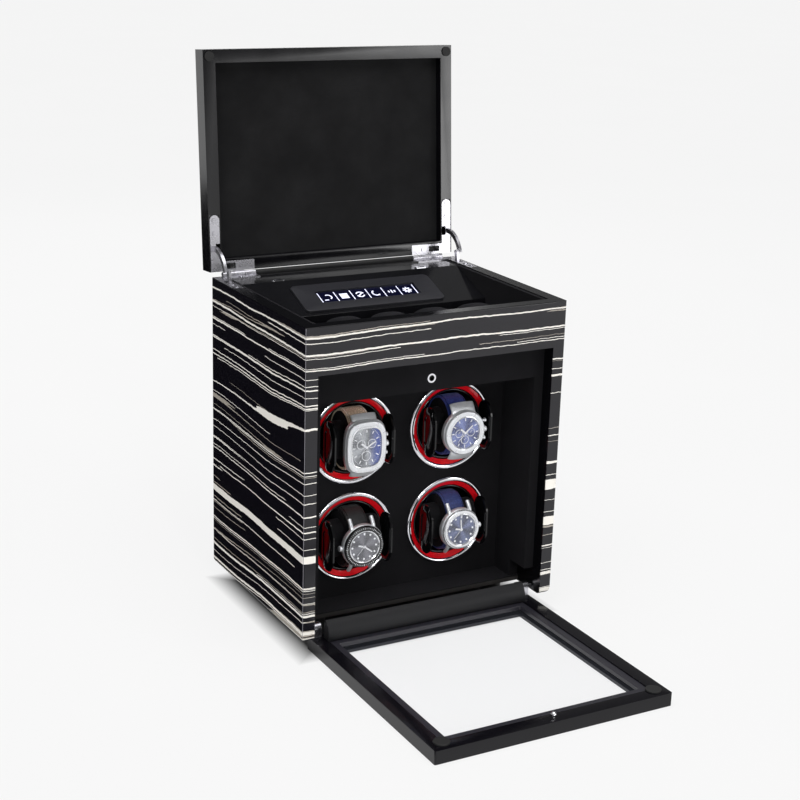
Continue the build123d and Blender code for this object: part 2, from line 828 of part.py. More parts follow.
# the strap's corners clear the cup's bore
strap_reach = math.sqrt((cup_bore - strap_cup_gap) ** 2 - (strap_width / 2) ** 2)
cuff_height = 2 * math.floor(strap_reach - strap_thick - strap_gap)


def turned(spot, points):
    """A ring or cup turned about the winder's axis; points are (radius, y)."""
    x, z = spot
    with BuildSketch(Plane(origin=(x, 0, z), x_dir=(1, 0, 0), z_dir=(0, 0, 1))) as profile:
        with BuildLine():
            Polyline(*points, close=True)
        make_face()
    revolve(profile.sketch, axis=Axis((x, 0, z), (0, 1, 0)), revolution_arc=360)


with BuildPart() as trim_rings:
    for spot in winders.values():
        turned(
            spot,
            [
                (ring_inner, panel_y - ring_stand + 0.8),
                (ring_inner + 1, panel_y - ring_stand),
                (ring_radius - 1.4, panel_y - ring_stand),
                (ring_radius, panel_y - 1.2),
                (ring_radius, panel_y),
                (ring_inner + 1, panel_y),
                (ring_inner + 1, panel_back),
                (ring_inner, panel_back),
            ],
        )
save(trim_rings.part, "trim_rings")

with BuildPart() as accent_rings:
    for spot in winders.values():
        turned(
            spot,
            [
                (ring_inner, panel_y - 1.6),
                (ring_inner, panel_back),
                (ring_inner - 1, panel_back),
                (ring_inner - 1, panel_y + 2),
                (accent_inner, panel_y + 2),
                (accent_inner, panel_y + 1),
            ],
        )
save(accent_rings.part, "accent_rings")


def winder_cup(spot, name):
    """Cup with two cheeks, a belt groove round its hub and its shaft."""
    x, z = spot
    with BuildPart() as cup:
        turned(
            spot,
            [
                (0, cup_back - cup_wall - 1),
                (cup_radius - cup_wall, cup_back - cup_wall - 1),
                (cup_radius - cup_wall, cup_front),
                (cup_radius, cup_front),
                (cup_radius, cup_back),
                (hub_flange, cup_back),
                (hub_flange, cup_back + flange_thick),
                (hub_radius, cup_back + flange_thick),
                (hub_radius, hub_back - flange_thick),
                (hub_flange, hub_back - flange_thick),
                (hub_flange, hub_back),
                (shaft_radius, hub_back),
                (shaft_radius, hub_back + shaft_length),
                (0, hub_back + shaft_length),
            ],
        )
        cheek_front = panel_y - cheek_reach
        cheek_step = panel_y - ring_stand - 1.2
        for side in both_sides:
            with BuildSketch(side_on(x + side * (cheek_outer - cheek_thick / 2))):
                with BuildLine():
                    Polyline(
                        (cup_back - cup_wall - 1, z - cheek_root),
                        (cheek_step, z - cheek_root),
                        (cheek_step, z - cheek_half_height + 6),
                        (cheek_step - 6, z - cheek_half_height),
                        (cheek_front + 7, z - cheek_half_height),
                        (cheek_front, z - cheek_half_height + 10),
                        (cheek_front, z + cheek_half_height - 10),
                        (cheek_front + 7, z + cheek_half_height),
                        (cheek_step - 6, z + cheek_half_height),
                        (cheek_step, z + cheek_half_height - 6),
                        (cheek_step, z + cheek_root),
                        (cup_back - cup_wall - 1, z + cheek_root),
                        close=True,
                    )
                make_face()
            extrude(amount=cheek_thick / 2, both=True)
    save(cup.part, f"winder_cup_{name}")


def motor_pulley(spot, name):
    x, z = spot
    with BuildPart() as pulley:
        turned(
            (x, z - motor_drop),
            [
                (0, cup_back + flange_thick),
                (pulley_flange, cup_back + flange_thick),
                (pulley_flange, cup_back + 2 * flange_thick - 0.4),
                (pulley_radius, cup_back + 2 * flange_thick - 0.4),
                (pulley_radius, hub_back - flange_thick),
                (pulley_flange, hub_back - flange_thick),
                (pulley_flange, hub_back),
                (motor_shaft, hub_back),
                (motor_shaft, motor_y + 6),
                (0, motor_y + 6),
            ],
        )
    save(pulley.part, f"motor_pulley_{name}")


def cuff_oval(x, z, depth, height, amount):
    """The oval section that a strap closes round, extruded both ways along X."""
    with BuildSketch(side_on(x)) as oval:
        with Locations((cuff_y, z)):
            Ellipse(depth / 2, height / 2)
    extrude(oval.sketch, amount=amount, both=True)


def watch_cuff(spot, name):
    x, z = spot
    with BuildPart() as cuff:
        cuff_oval(x, z, cuff_depth, cuff_height, cuff_core / 2)
        small = (cuff_depth * cuff_end_scale, cuff_height * cuff_end_scale)
        cuff_oval(x, z, small[0], small[1], cuff_end / 2)
        fillet(cuff.edges().filter_by(GeomType.ELLIPSE).group_by(Axis.X)[0], 3)
        fillet(cuff.edges().filter_by(GeomType.ELLIPSE).group_by(Axis.X)[-1], 3)
    save(cuff.part, f"watch_cuff_{name}")


# room left between each watch head and the cheeks, how much taller than wide it is to each side,
# how much narrower its strap is than the widest, and which side its crown is on
watch_sizes = {
    "upper_left": (7.5, 3, 2, 1),
    "upper_right": (6.5, 0, 0, 1),
    "lower_left": (7.5, 0, 2, -1),
    "lower_right": (8, 0, 2, 1),
}


def watch(spot, name):
    x, z = spot
    beside, taller, narrower, crown_side = watch_sizes[name]
    half_width = head_room - beside
    half_height = half_width + taller
    strap_front = cuff_y - cuff_depth / 2 - strap_gap - strap_thick
    inside = (cuff_depth + 2 * strap_gap, cuff_height + 2 * strap_gap)
    with BuildPart() as body:
        with BuildSketch(side_on(x)):
            with Locations((cuff_y, z)):
                Ellipse(inside[0] / 2 + strap_thick, inside[1] / 2 + strap_thick)
                Ellipse(inside[0] / 2, inside[1] / 2, mode=Mode.SUBTRACT)
        extrude(amount=(strap_width - narrower) / 2, both=True)
        with BuildSketch(across(strap_front - watch_thick)):
            with Locations((x, z)):
                if half_height > half_width:
                    RectangleRounded(2 * half_width, 2 * half_height, 9)
                else:
                    Circle(half_width)
        extrude(amount=-watch_thick - strap_thick + 0.4)
        with BuildSketch(side_on(x + crown_side * half_width)):
            with Locations((strap_front - watch_thick / 2, z)):
                Circle(2.6)
        extrude(amount=3, both=True)
        # nothing of the watch reaches into the cuff
        with BuildSketch(side_on(x)):
            with Locations((cuff_y, z)):
                Ellipse(inside[0] / 2, inside[1] / 2)
        extrude(amount=half_width + 5, both=True, mode=Mode.SUBTRACT)
    save(body.part, f"watch_{name}")


for name, spot in winders.items():
    winder_cup(spot, name)
    motor_pulley(spot, name)
    watch_cuff(spot, name)
    watch(spot, name)

# ---- mechanism behind the winder panel ----
motor_spots = [(x, z - motor_drop) for (x, z) in winders.values()]
with BuildPart() as mechanism_plate:
    with BuildSketch(across(plate_y)):
        with Locations((0, (base_thick + cavity_ceiling + ceiling_lining) / 2)):
            Rectangle(2 * inner_x, cavity_ceiling + ceiling_lining - base_thick)
        with Locations(*winders.values()):
            Circle(shaft_radius + running, mode=Mode.SUBTRACT)
        with Locations(*motor_spots):
            Circle(motor_shaft + 1.5, mode=Mode.SUBTRACT)
    extrude(amount=-plate_thick)
save(mechanism_plate.part, "mechanism_plate")

with BuildPart() as gear_motors:
    with BuildSketch(across(motor_y)):
        with Locations(*motor_spots):
            Circle(motor_radius)
            Circle(motor_shaft + running, mode=Mode.SUBTRACT)
    extrude(amount=-motor_length)
save(gear_motors.part, "gear_motors")

with BuildPart() as drive_belts:
    belt_front = cup_back + 2 * flange_thick + 0.2
    belt_width = hub_length - 3 * flange_thick - 0.6
    for x, z in winders.values():
        for grow, mode in ((belt_gap + belt_thick, Mode.ADD), (belt_gap, Mode.SUBTRACT)):
            with BuildSketch(across(belt_front)) as loop:
                with Locations((x, z)):
                    Circle(hub_radius + grow)
                with Locations((x, z - motor_drop)):
                    Circle(pulley_radius + grow)
                make_hull()
            extrude(amount=-belt_width, mode=mode)
save(drive_belts.part, "drive_belts")

# ---- storage cushions ----
cushion_width = (2 * storage_x - (cushion_count + 1) * cushion_gap) / cushion_count
for index in range(cushion_count):
    middle = (index - (cushion_count - 1) / 2) * (cushion_width + cushion_gap)
    with BuildPart() as cushion:
        with BuildSketch(Plane.XY.offset(storage_floor)):
            with Locations((middle, console_front_y - cushion_gap - cushion_length / 2)):
                Rectangle(cushion_width, cushion_length)
        extrude(amount=cushion_height)
        fillet(cushion.edges().filter_by(Axis.X).group_by(Axis.Z)[-1], cushion_round)
        fillet(cushion.edges().filter_by(Axis.Z), 3)
    save(cushion.part, f"cushion_{index + 1}")
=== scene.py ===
import math
import bmesh
import bpy
import numpy as np
from mathutils import Matrix, Vector


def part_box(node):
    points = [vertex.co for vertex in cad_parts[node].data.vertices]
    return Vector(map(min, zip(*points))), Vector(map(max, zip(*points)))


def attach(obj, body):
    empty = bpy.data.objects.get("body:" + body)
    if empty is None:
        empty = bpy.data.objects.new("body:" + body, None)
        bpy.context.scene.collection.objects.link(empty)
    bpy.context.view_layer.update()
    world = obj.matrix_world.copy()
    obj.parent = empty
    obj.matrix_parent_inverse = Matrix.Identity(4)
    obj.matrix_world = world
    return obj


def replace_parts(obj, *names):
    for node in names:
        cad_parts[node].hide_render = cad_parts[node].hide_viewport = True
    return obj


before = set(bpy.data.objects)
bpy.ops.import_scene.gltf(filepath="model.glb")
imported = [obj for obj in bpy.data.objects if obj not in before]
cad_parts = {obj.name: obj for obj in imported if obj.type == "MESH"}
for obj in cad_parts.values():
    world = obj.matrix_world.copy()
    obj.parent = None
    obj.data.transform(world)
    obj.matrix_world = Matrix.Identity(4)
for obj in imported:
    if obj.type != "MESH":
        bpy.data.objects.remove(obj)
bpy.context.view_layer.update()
print("frame loaded")

mm = 0.001


def hexColour(text):
    # sRGB hex to linear rgba
    parts = [int(text[i:i + 2], 16) / 255 for i in (1, 3, 5)]
    return tuple(p / 12.92 if p <= 0.04045 else ((p + 0.055) / 1.055) ** 2.4 for p in parts) + (1.0,)


def addNode(tree, kind, inputs=None, output=0, **settings):
    # adds a shader node with its settings; each input is a fixed value or the output it is linked from
    node = tree.nodes.new("ShaderNode" + kind)
    for key, value in settings.items():
        setattr(node, key, value)
    for key, value in (inputs or {}).items():
        if isinstance(value, bpy.types.NodeSocket):
            tree.links.new(value, node.inputs[key])
        else:
            node.inputs[key].default_value = value
    return node.outputs[output]


def startMaterial(name, **sockets):
    # an empty principled material; sockets are given by name with _ for a space
    material = bpy.data.materials.new(name)
    material.use_nodes = True
    tree = material.node_tree
    shader = tree.nodes["Principled BSDF"].inputs
    for key, value in sockets.items():
        shader[key.replace("_", " ")].default_value = value
    return material, tree, shader, addNode(tree, "TexCoord", output="Object")


# ebony veneer under clear gloss lacquer: near-black with thin cream sapwood lines that run level
veneer = {
    "dark": "#08070c",
    "grain": "#15131b",
    "cream": "#f5f1e9",
    "dull": "#a8a197",
    "edge": "#8d8b92",  # painted highlight: pale line standing in for light caught on the rounded front corners
    "rim": "#07070a",
    "wander": 0.004,  # metres a line strays up or down over the board's length
    "tremble": 0.0005,  # metres of the small shakes in a line
    # line sets: cells per metre up and along, seed, height of the contour, half its width, share left out
    "sets": [(34, 0.3, 3.7, 0.53, 0.0115, 0.30), (46, 0.4, 27.3, 0.47, 0.0085, 0.36),
             (58, 0.5, 61.9, 0.53, 0.0075, 0.40)],
    "hairs": (120, 1.2, 15.3, 0.56, 0.014, 0.52),
    "gapCells": (5, 1, 28),  # cells per metre of the noise that breaks the lines off
    "fibreCells": (25, 25, 900),  # 1 mm wood fibres, drawn out along the board
}


def veneerMaterial():
    left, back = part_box("left_side_panel"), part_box("back_panel")
    outerX, innerX, frontY, topZ = -left[0][0], -left[1][0], left[0][1], left[1][2]
    openFrom, openTo = frontY + 0.75 * mm, back[0][1] - 1.35 * mm
    material, tree, shader, place = startMaterial(
        "lacqueredEbonyVeneer", Roughness=0.2, Specular_IOR_Level=0.5, IOR=1.5)
    x, y, z = addNode(tree, "SeparateXYZ", {"Vector": place}).node.outputs
    sideways = addNode(tree, "Math", {0: x}, operation="ABSOLUTE")
    along = addNode(tree, "Math", {0: x, 1: y}, operation="SUBTRACT")
    slow = addNode(tree, "TexNoise", {"Vector": place, "Scale": 7.0, "Detail": 1.0})
    quick = addNode(tree, "TexNoise", {"Vector": place, "Scale": 130.0, "Detail": 2.0})
    wander, tremble = (
        addNode(tree, "MapRange", {"Value": noise, "From Min": 0.2, "From Max": 0.8,
                                             "To Min": -veneer[reach], "To Max": veneer[reach]})
        for noise, reach in ((slow, "wander"), (quick, "tremble")))
    strayed = addNode(tree, "Math", {0: wander, 1: tremble}, operation="ADD")
    level = addNode(tree, "Math", {0: z, 1: strayed}, operation="ADD")

    def lineSet(perUp, perAlong, seed, contour, halfWidth, kept):
        # a noise stretched along the board; a line runs wherever it passes through the contour's height
        spot = addNode(tree, "CombineXYZ", {"X": along, "Y": seed / 10, "Z": level})
        spot = addNode(tree, "Mapping", {"Vector": spot, "Scale": (perAlong, 10, perUp)})
        field = addNode(tree, "TexNoise", {"Vector": spot, "Scale": 1.0, "Detail": 0.0})
        lines = addNode(tree, "Math", {0: field, 1: contour, 2: halfWidth}, operation="COMPARE")
        gaps = addNode(tree, "CombineXYZ", {"X": along, "Y": seed, "Z": level})
        gaps = addNode(tree, "Mapping", {"Vector": gaps, "Scale": veneer["gapCells"]})
        gaps = addNode(tree, "TexNoise", {"Vector": gaps, "Scale": 1.0, "Detail": 0.0})
        keep = addNode(tree, "Math", {0: gaps, 1: kept}, operation="GREATER_THAN")
        return addNode(tree, "Math", {0: lines, 1: keep}, operation="MULTIPLY")

    cream = lineSet(*veneer["sets"][0])
    for values in veneer["sets"][1:]:
        cream = addNode(tree, "Math", {0: cream, 1: lineSet(*values)}, operation="MAXIMUM")
    fibres = addNode(tree, "Mapping", {"Vector": place, "Scale": veneer["fibreCells"]})
    fibres = addNode(tree, "TexNoise", {"Vector": fibres, "Scale": 1.0})
    # painted highlight: pale line down the front corners, where the rounded edge would catch light
    corner = addNode(tree, "Math", {0: sideways, 1: outerX - 0.6 * mm}, operation="GREATER_THAN")
    frontEdge = addNode(tree, "Math", {0: y, 1: frontY + 0.6 * mm}, operation="LESS_THAN")
    corner = addNode(tree, "Math", {0: corner, 1: frontEdge}, operation="MULTIPLY")
    # plain black on the top rim and on what faces inwards
    inside = addNode(tree, "Math", {0: sideways, 1: innerX + 0.2 * mm}, operation="LESS_THAN")
    between = {0: y, 1: (openFrom + openTo) / 2, 2: (openTo - openFrom) / 2}
    between = addNode(tree, "Math", between, operation="COMPARE")
    reveal = addNode(tree, "Math", {0: inside, 1: between}, operation="MULTIPLY")
    top = addNode(tree, "Math", {0: z, 1: topZ - 0.6 * mm}, operation="GREATER_THAN")
    rim = addNode(tree, "Math", {0: top, 1: reveal}, operation="MAXIMUM")
    ground = {"Factor": fibres, "A": hexColour(veneer["dark"]), "B": hexColour(veneer["grain"])}
    colour = addNode(tree, "Mix", ground, "Result", data_type="RGBA")
    hairs = lineSet(*veneer["hairs"])
    # the corner mask lays the painted highlight colour over the veneer
    for mask, tint in ((hairs, "dull"), (cream, "cream"), (corner, "edge"), (rim, "rim")):
        colour = addNode(tree, "Mix", {"Factor": mask, "A": colour, "B": hexColour(veneer[tint])},
                         "Result", data_type="RGBA")
    tree.links.new(colour, shader["Base Color"])
    wave = addNode(tree, "TexNoise", {"Vector": place, "Scale": 45.0, "Detail": 1.0})
    normal = addNode(tree, "Bump", {"Height": wave, "Distance": 0.00005, "Strength": 0.5})
    tree.links.new(normal, shader["Normal"])
    return material


def finishLinks(tree, shader, tone, low, high, height, depth, strength, rough=None):
    # one pattern drives the colour between two hex values and the roughness, another the bump
    colour = addNode(tree, "Mix", {"Factor": tone, "A": hexColour(low), "B": hexColour(high)},
                     "Result", data_type="RGBA")
    tree.links.new(colour, shader["Base Color"])
    normal = addNode(tree, "Bump", {"Height": height, "Distance": depth, "Strength": strength})
    tree.links.new(normal, shader["Normal"])
    if rough:
        spread = {"Value": tone, "To Min": rough * 0.75, "To Max": rough * 1.3}
        spread = addNode(tree, "MapRange", spread)
        tree.links.new(spread, shader["Roughness"])


def glossMaterial(name, colour, lift, rough, coat=0.0, grainPerMetre=60, depth=0.00004, **sockets):
    # sprayed or moulded gloss: even colour with faint haze and the slight waviness of a polished coat
    material, tree, shader, place = startMaterial(name, Coat_Weight=coat, Coat_Roughness=0.03, **sockets)
    haze, wave = (addNode(tree, "TexNoise", {"Vector": place, "Scale": scale, "Detail": detail})
                  for scale, detail in ((grainPerMetre, 3.0), (grainPerMetre * 0.8, 1.0)))
    finishLinks(tree, shader, haze, colour, lift, wave, depth, 0.5, rough)
    return material


def metalMaterial(name, colour, lift, rough, scale, depth=0.00001, **sockets):
    # plated or brushed metal; scale gives the brushing's cells per metre along x, y and z
    material, tree, shader, place = startMaterial(name, **{"Metallic": 1.0, **sockets})
    brushing = addNode(tree, "Mapping", {"Vector": place, "Scale": scale})
    brushing = addNode(tree, "TexNoise", {"Vector": brushing, "Scale": 1.0, "Detail": 3.0})
    finishLinks(tree, shader, brushing, colour, lift, brushing, depth, 0.6, rough)
    return material


def pileMaterial(name, colour, lift, sheen, pilePerMetre=2500, sheenTint="#8a8894"):
    # velvet or suede: dark pile that lightens where it has been stroked the other way
    material, tree, shader, place = startMaterial(
        name, Roughness=0.95, Sheen_Weight=sheen, Sheen_Roughness=0.4, Sheen_Tint=hexColour(sheenTint),
        Specular_IOR_Level=0.2)
    stroked = {"Vector": place, "Scale": 20.0, "Detail": 3.0, "Roughness": 0.6}
    stroked = addNode(tree, "TexNoise", stroked)
    patches = addNode(tree, "MapRange", {"Value": stroked, "From Min": 0.35, "From Max": 0.7})
    pile = addNode(tree, "TexNoise", {"Vector": place, "Scale": pilePerMetre, "Detail": 1.0})
    tone = addNode(tree, "Math", {0: patches, 1: pile, 2: 0.2}, operation="MULTIPLY_ADD")
    finishLinks(tree, shader, tone, colour, lift, pile, 0.00025, 0.7)
    return material


ebonyVeneer = veneerMaterial()
# polyurethane piano lacquer over board, polished: deep black with a soft wave in its reflections
pianoLacquer = glossMaterial("blackPianoLacquer", "#060608", "#0d0c11", 0.15, 0.0, 40, 0.00006,
                             Specular_IOR_Level=0.5)
# the same lacquer on the door's narrow rails, rubbed down less: weaker mirror
doorLacquer = glossMaterial("doorBlackLacquer", "#08070b", "#100f14", 0.17, 0.0, 45, 0.00005,
                            Specular_IOR_Level=0.3)
# raw fibreboard, brown-black stain: matt and slightly fibrous
stainedBoard = glossMaterial("stainedFibreboard", "#1c1a19", "#2c2927", 0.75, 0.0, 900, 0.0001)
# flocked velvet on foam: nearly no highlight, edges lighten
blackVelvet = pileMaterial("blackVelvet", "#08080a", "#151417", 0.14)
# brushed suede cloth in the lid: stroked patches a little lighter
blackSuede = pileMaterial("blackSuedeCloth", "#101011", "#242425", 0.2, 1800)
# finer suede on cuffs and cushions: even and soft
cuffSuede = pileMaterial("cuffSuedeCloth", "#0b0b0d", "#161619", 0.15, 2200)
# bright nickel plate on pressed steel: pale with a soft shine
brightNickel = metalMaterial("brightNickelPlate", "#bab9bf", "#d6d5db", 0.27, (120, 120, 120), 0.000004)
# polished chrome plate: hard black and white reflections
chromePlate = metalMaterial("polishedChromePlate", "#dcdce2", "#f4f4f8", 0.07, (80, 80, 80))
# drawn steel motor can: dull with marks along the draw
brushedCan = metalMaterial("drawnSteelCan", "#8c8f94", "#b4b7bb", 0.32, (60, 900, 60))
# injection-moulded acrylic ring: glassy red with a painted glow, a weak emission that brightens it in the
# cavity's shade
redAcrylic = glossMaterial("redGlossAcrylic", "#c20c17", "#e01622", 0.10, 0.5, 50,
                           Emission_Color=hexColour("#e0101c"), Emission_Strength=0.08)
# moulded ABS polished to piano black: thin bright lines along its edges
glossAbs = glossMaterial("pianoBlackAbs", "#050506", "#0b0b0e", 0.14, 0.15, 50, Specular_IOR_Level=0.35)
# moulded ABS of the console: gloss with a slight haze
consoleAbs = glossMaterial("consoleGlossAbs", "#0c0c0e", "#151518", 0.15, 0.3, 45)
# finely spark-eroded ABS round the display: satin dark grey
bezelAbs = glossMaterial("satinGreyAbs", "#1c1c20", "#2a2a2f", 0.3, 0.0, 1400, 0.00003)
# extruded bead that holds the pane: satin with a lilac grey sheen
beadAbs = glossMaterial("satinBeadAbs", "#222127", "#2e2d34", 0.32, 0.0, 900, 0.00003)
# wrapped sill strip: satin, darker than the bead
sillCloth = glossMaterial("satinSillWrap", "#0e0e10", "#19191c", 0.5, 0.0, 1500, 0.00008,
                          Specular_IOR_Level=0.3)
# vulcanised rubber: matt with a dusty bloom
blackRubber = glossMaterial("blackRubber", "#0b0b0b", "#191919", 0.62, 0.0, 1200, 0.00005)
# moulded nylon of the inlet: satin black
socketNylon = glossMaterial("blackNylon", "#101011", "#1b1b1d", 0.45, 0.0, 1000, 0.00004)
# moulded acetal of the pulleys: waxy off-white
acetal = glossMaterial("whiteAcetal", "#c9c6bd", "#dedbd2", 0.4, 0.0, 400, 0.00003)
# solder mask on glass fibre: clear dark green
boardGreen = glossMaterial("greenSolderMask", "#0f3b20", "#17542d", 0.3, 0.2, 700, 0.00004)
# back-printed glass: smooth deep navy
displayNavy = glossMaterial("navyDisplayGlass", "#04061a", "#080c2c", 0.06, 0.5, 60, 0.0)


def printedWhite():
    # screen-printed icons that glow softly through the display glass
    material, tree, shader, place = startMaterial("litWhiteIcon", Roughness=0.3, Emission_Strength=0.55)
    mottle = addNode(tree, "TexNoise", {"Vector": place, "Scale": 500.0})
    tone = {"Factor": mottle, "A": hexColour("#c9cdea"), "B": hexColour("#f4f5ff")}
    tone = addNode(tree, "Mix", tone, "Result", data_type="RGBA")
    tree.links.new(tone, shader["Base Color"])
    tree.links.new(tone, shader["Emission Color"])
    return material


def clearMaterial(name, alpha, ior, low, high, hazePerMetre):
    # float glass or crystal seen mostly straight through: clear, with a weak mirror on top
    material, tree, shader, place = startMaterial(name, Alpha=alpha, IOR=ior)
    haze = addNode(tree, "TexNoise", {"Vector": place, "Scale": hazePerMetre})
    finishLinks(tree, shader, haze, low, high, haze, 0.0, 0.0, 0.02)
    return material


litIcon = printedWhite()
doorPane = clearMaterial("clearFloatGlass", 0.035, 1.5, "#a5abbb", "#b4b9c8", 25.0)

nodeFinish = {
    ebonyVeneer: ["left_side_panel", "right_side_panel", "front_header", "back_panel"],
    pianoLacquer: ["lid_shell"],
    stainedBoard: ["base_board", "storage_floor", "mechanism_plate"],
    blackVelvet: ["cavity_lining", "storage_lining", "winder_panel", "door_stop_rail"],
    blackSuede: ["lid_lining"],
    brightNickel: ["case_hinge_leaves", "lid_hinge_leaves", "stay_arms", "case_screws",
                   "lid_hinge_screws", "pivot_arms"],
    chromePlate: ["catch_socket", "catch_stud", "console_clips", "trim_rings"],
    brushedCan: ["gear_motors"],
    redAcrylic: ["accent_rings"],
    consoleAbs: ["console_panel"],
    bezelAbs: ["display_bezel"],
    displayNavy: ["touch_screen"],
    boardGreen: ["control_board"],
    doorLacquer: ["door_frame"],
    beadAbs: ["glazing_bead"],
    doorPane: ["door_glass"],
    sillCloth: ["door_sill"],
    blackRubber: ["lid_bumpers", "door_bumpers", "feet", "drive_belts", "dust_bead"],
    socketNylon: ["power_socket"],
}
quarters = {
    "upper_left": (-51 * mm, 159 * mm),
    "upper_right": (51 * mm, 159 * mm),
    "lower_left": (-51 * mm, 64 * mm),
    "lower_right": (51 * mm, 64 * mm),
}
for quarter in quarters:
    nodeFinish.setdefault(glossAbs, []).append("winder_cup_" + quarter)
    nodeFinish.setdefault(acetal, []).append("motor_pulley_" + quarter)
    nodeFinish.setdefault(cuffSuede, []).append("watch_cuff_" + quarter)
for material, names in nodeFinish.items():
    for name in names:
        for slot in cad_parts[name].material_slots:
            slot.material = material
print("node materials set")


def intoScene(name, data):
    thing = bpy.data.objects.new(name, data)
    bpy.context.scene.collection.objects.link(thing)
    return thing


def addPiece(name, shape, material, body, sharpDegrees=35):
    # shape is (points, faces); doubled points are merged, faces turned outwards
    points, faces = shape
    mesh = bpy.data.meshes.new(name)
    mesh.from_pydata(points.tolist(), [], faces.tolist() if hasattr(faces, "tolist") else faces)
    work = bmesh.new()
    work.from_mesh(mesh)
    bmesh.ops.remove_doubles(work, verts=work.verts, dist=2e-6)
    bmesh.ops.dissolve_degenerate(work, dist=1e-7, edges=work.edges)
    bmesh.ops.recalc_face_normals(work, faces=work.faces)
    work.to_mesh(mesh)
    work.free()
    mesh.polygons.foreach_set("use_smooth", np.ones(len(mesh.polygons), dtype=bool))
    mesh.set_sharp_from_angle(angle=math.radians(sharpDegrees))
    mesh.materials.append(material)
    piece = intoScene(name, mesh)
    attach(piece, body)
    return piece


def bent(value, power):
    # power that keeps the sign, for superellipses
    return np.sign(value) * np.abs(value) ** power


def gridFaces(rows, columns, closeRows, closeColumns):
    # quads between neighbouring points of a rows by columns grid
    i, j = np.meshgrid(np.arange(rows if closeRows else rows - 1),
                       np.arange(columns if closeColumns else columns - 1), indexing="ij")
    i2, j2 = (i + 1) % rows, (j + 1) % columns
    corners = (i * columns + j, i2 * columns + j, i2 * columns + j2, i * columns + j2)
    return np.stack(corners, axis=-1).reshape(-1, 4)


def together(shapes):
    # several shapes as one point list and one face list
    points, faces, count = [], [], 0
    for shapePoints, shapeFaces in shapes:
        points.append(shapePoints)
        faces.append(shapeFaces + count)
        count += len(shapePoints)
    return np.concatenate(points), np.concatenate(faces)


def loft(centre, halfWidth, halfHeight, power, levels, columns=96, closed=False):
    # superellipse outlines facing -Y: x = w s cos^(2/p), z = h s sin^(2/p); levels are (s, y)
    turn = np.linspace(0, 2 * np.pi, columns, endpoint=False)
    c, s = np.cos(turn), np.sin(turn)
    levels = np.array(levels, dtype=float)
    scale, depth = levels[:, :1], levels[:, 1:]
    x = centre[0] + halfWidth * scale * bent(c, 2 / power)
    z = centre[1] + halfHeight * scale * bent(s, 2 / power)
    y = depth + 0 * x
    points = np.stack([x, y, z], axis=-1).reshape(-1, 3)
    return points, gridFaces(len(levels), columns, closed, True)


def lathe(centre, profile, columns=128):
    # a closed profile of (radius, y) swept round the line through the centre along Y
    return loft(centre, 1.0, 1.0, 2.0, profile, columns, closed=True)


# faces of a box whose eight corners count up first along its width, then its length, then its depth
boxQuads = np.array([(0, 1, 3, 2), (4, 6, 7, 5), (0, 2, 6, 4), (1, 5, 7, 3), (0, 4, 5, 1), (2, 3, 7, 6)])


def bars(centres, sizes, turns, depths):
    # flat-topped bars seen from the front: each centre (x, z), size (along, across), turn from up
    centres, sizes, turns = np.array(centres), np.array(sizes), np.array(turns)
    corner = np.array([(a, b) for a in (-0.5, 0.5) for b in (-0.5, 0.5)])
    along = corner[None, :, 0] * sizes[:, None, 0]
    across = corner[None, :, 1] * sizes[:, None, 1]
    x = centres[:, None, 0] + along * np.sin(turns)[:, None] + across * np.cos(turns)[:, None]
    z = centres[:, None, 1] + along * np.cos(turns)[:, None] - across * np.sin(turns)[:, None]
    front = np.stack([x, np.full_like(x, depths[0]), z], axis=-1)
    rear = np.stack([x, np.full_like(x, depths[1]), z], axis=-1)
    points = np.concatenate([front, rear], axis=1).reshape(-1, 3)
    faces = (np.arange(len(centres))[:, None, None] * 8 + boxQuads[None]).reshape(-1, 4)
    return points, faces


def tube(path, radius, columns=12, flatten=1.0):
    # a closed round bar along a list of points; its ends are drawn in to a point
    path = np.array(path, dtype=float)
    ahead = np.gradient(path, axis=0)
    ahead /= np.linalg.norm(ahead, axis=1, keepdims=True)
    guide = np.array([0.0, 1.0, 0.0]) if abs(ahead[0, 1]) < 0.8 else np.array([1.0, 0.0, 0.0])
    side = np.cross(ahead, guide)
    side /= np.linalg.norm(side, axis=1, keepdims=True)
    up = np.cross(side, ahead)
    turn = np.linspace(0, 2 * np.pi, columns, endpoint=False)
    ring = side[:, None] * np.cos(turn)[None, :, None] + up[:, None] * np.sin(turn)[None, :, None] * flatten
    points = path[:, None] + radius * ring
    points = np.concatenate([path[None, :1].repeat(columns, axis=1), points,
                             path[None, -1:].repeat(columns, axis=1)])
    return points.reshape(-1, 3), gridFaces(len(path) + 2, columns, False, True)


ringShape = {
    "outer": 43.2 * mm,
    "inner": 39.0 * mm,
    "face": -35.5 * mm,  # front of the velvet panel
    "behind": -30.5 * mm,  # back of the panel
    "stand": 3.0 * mm,
    "roll": 1.6 * mm,  # radius of the rolled outer edge
}


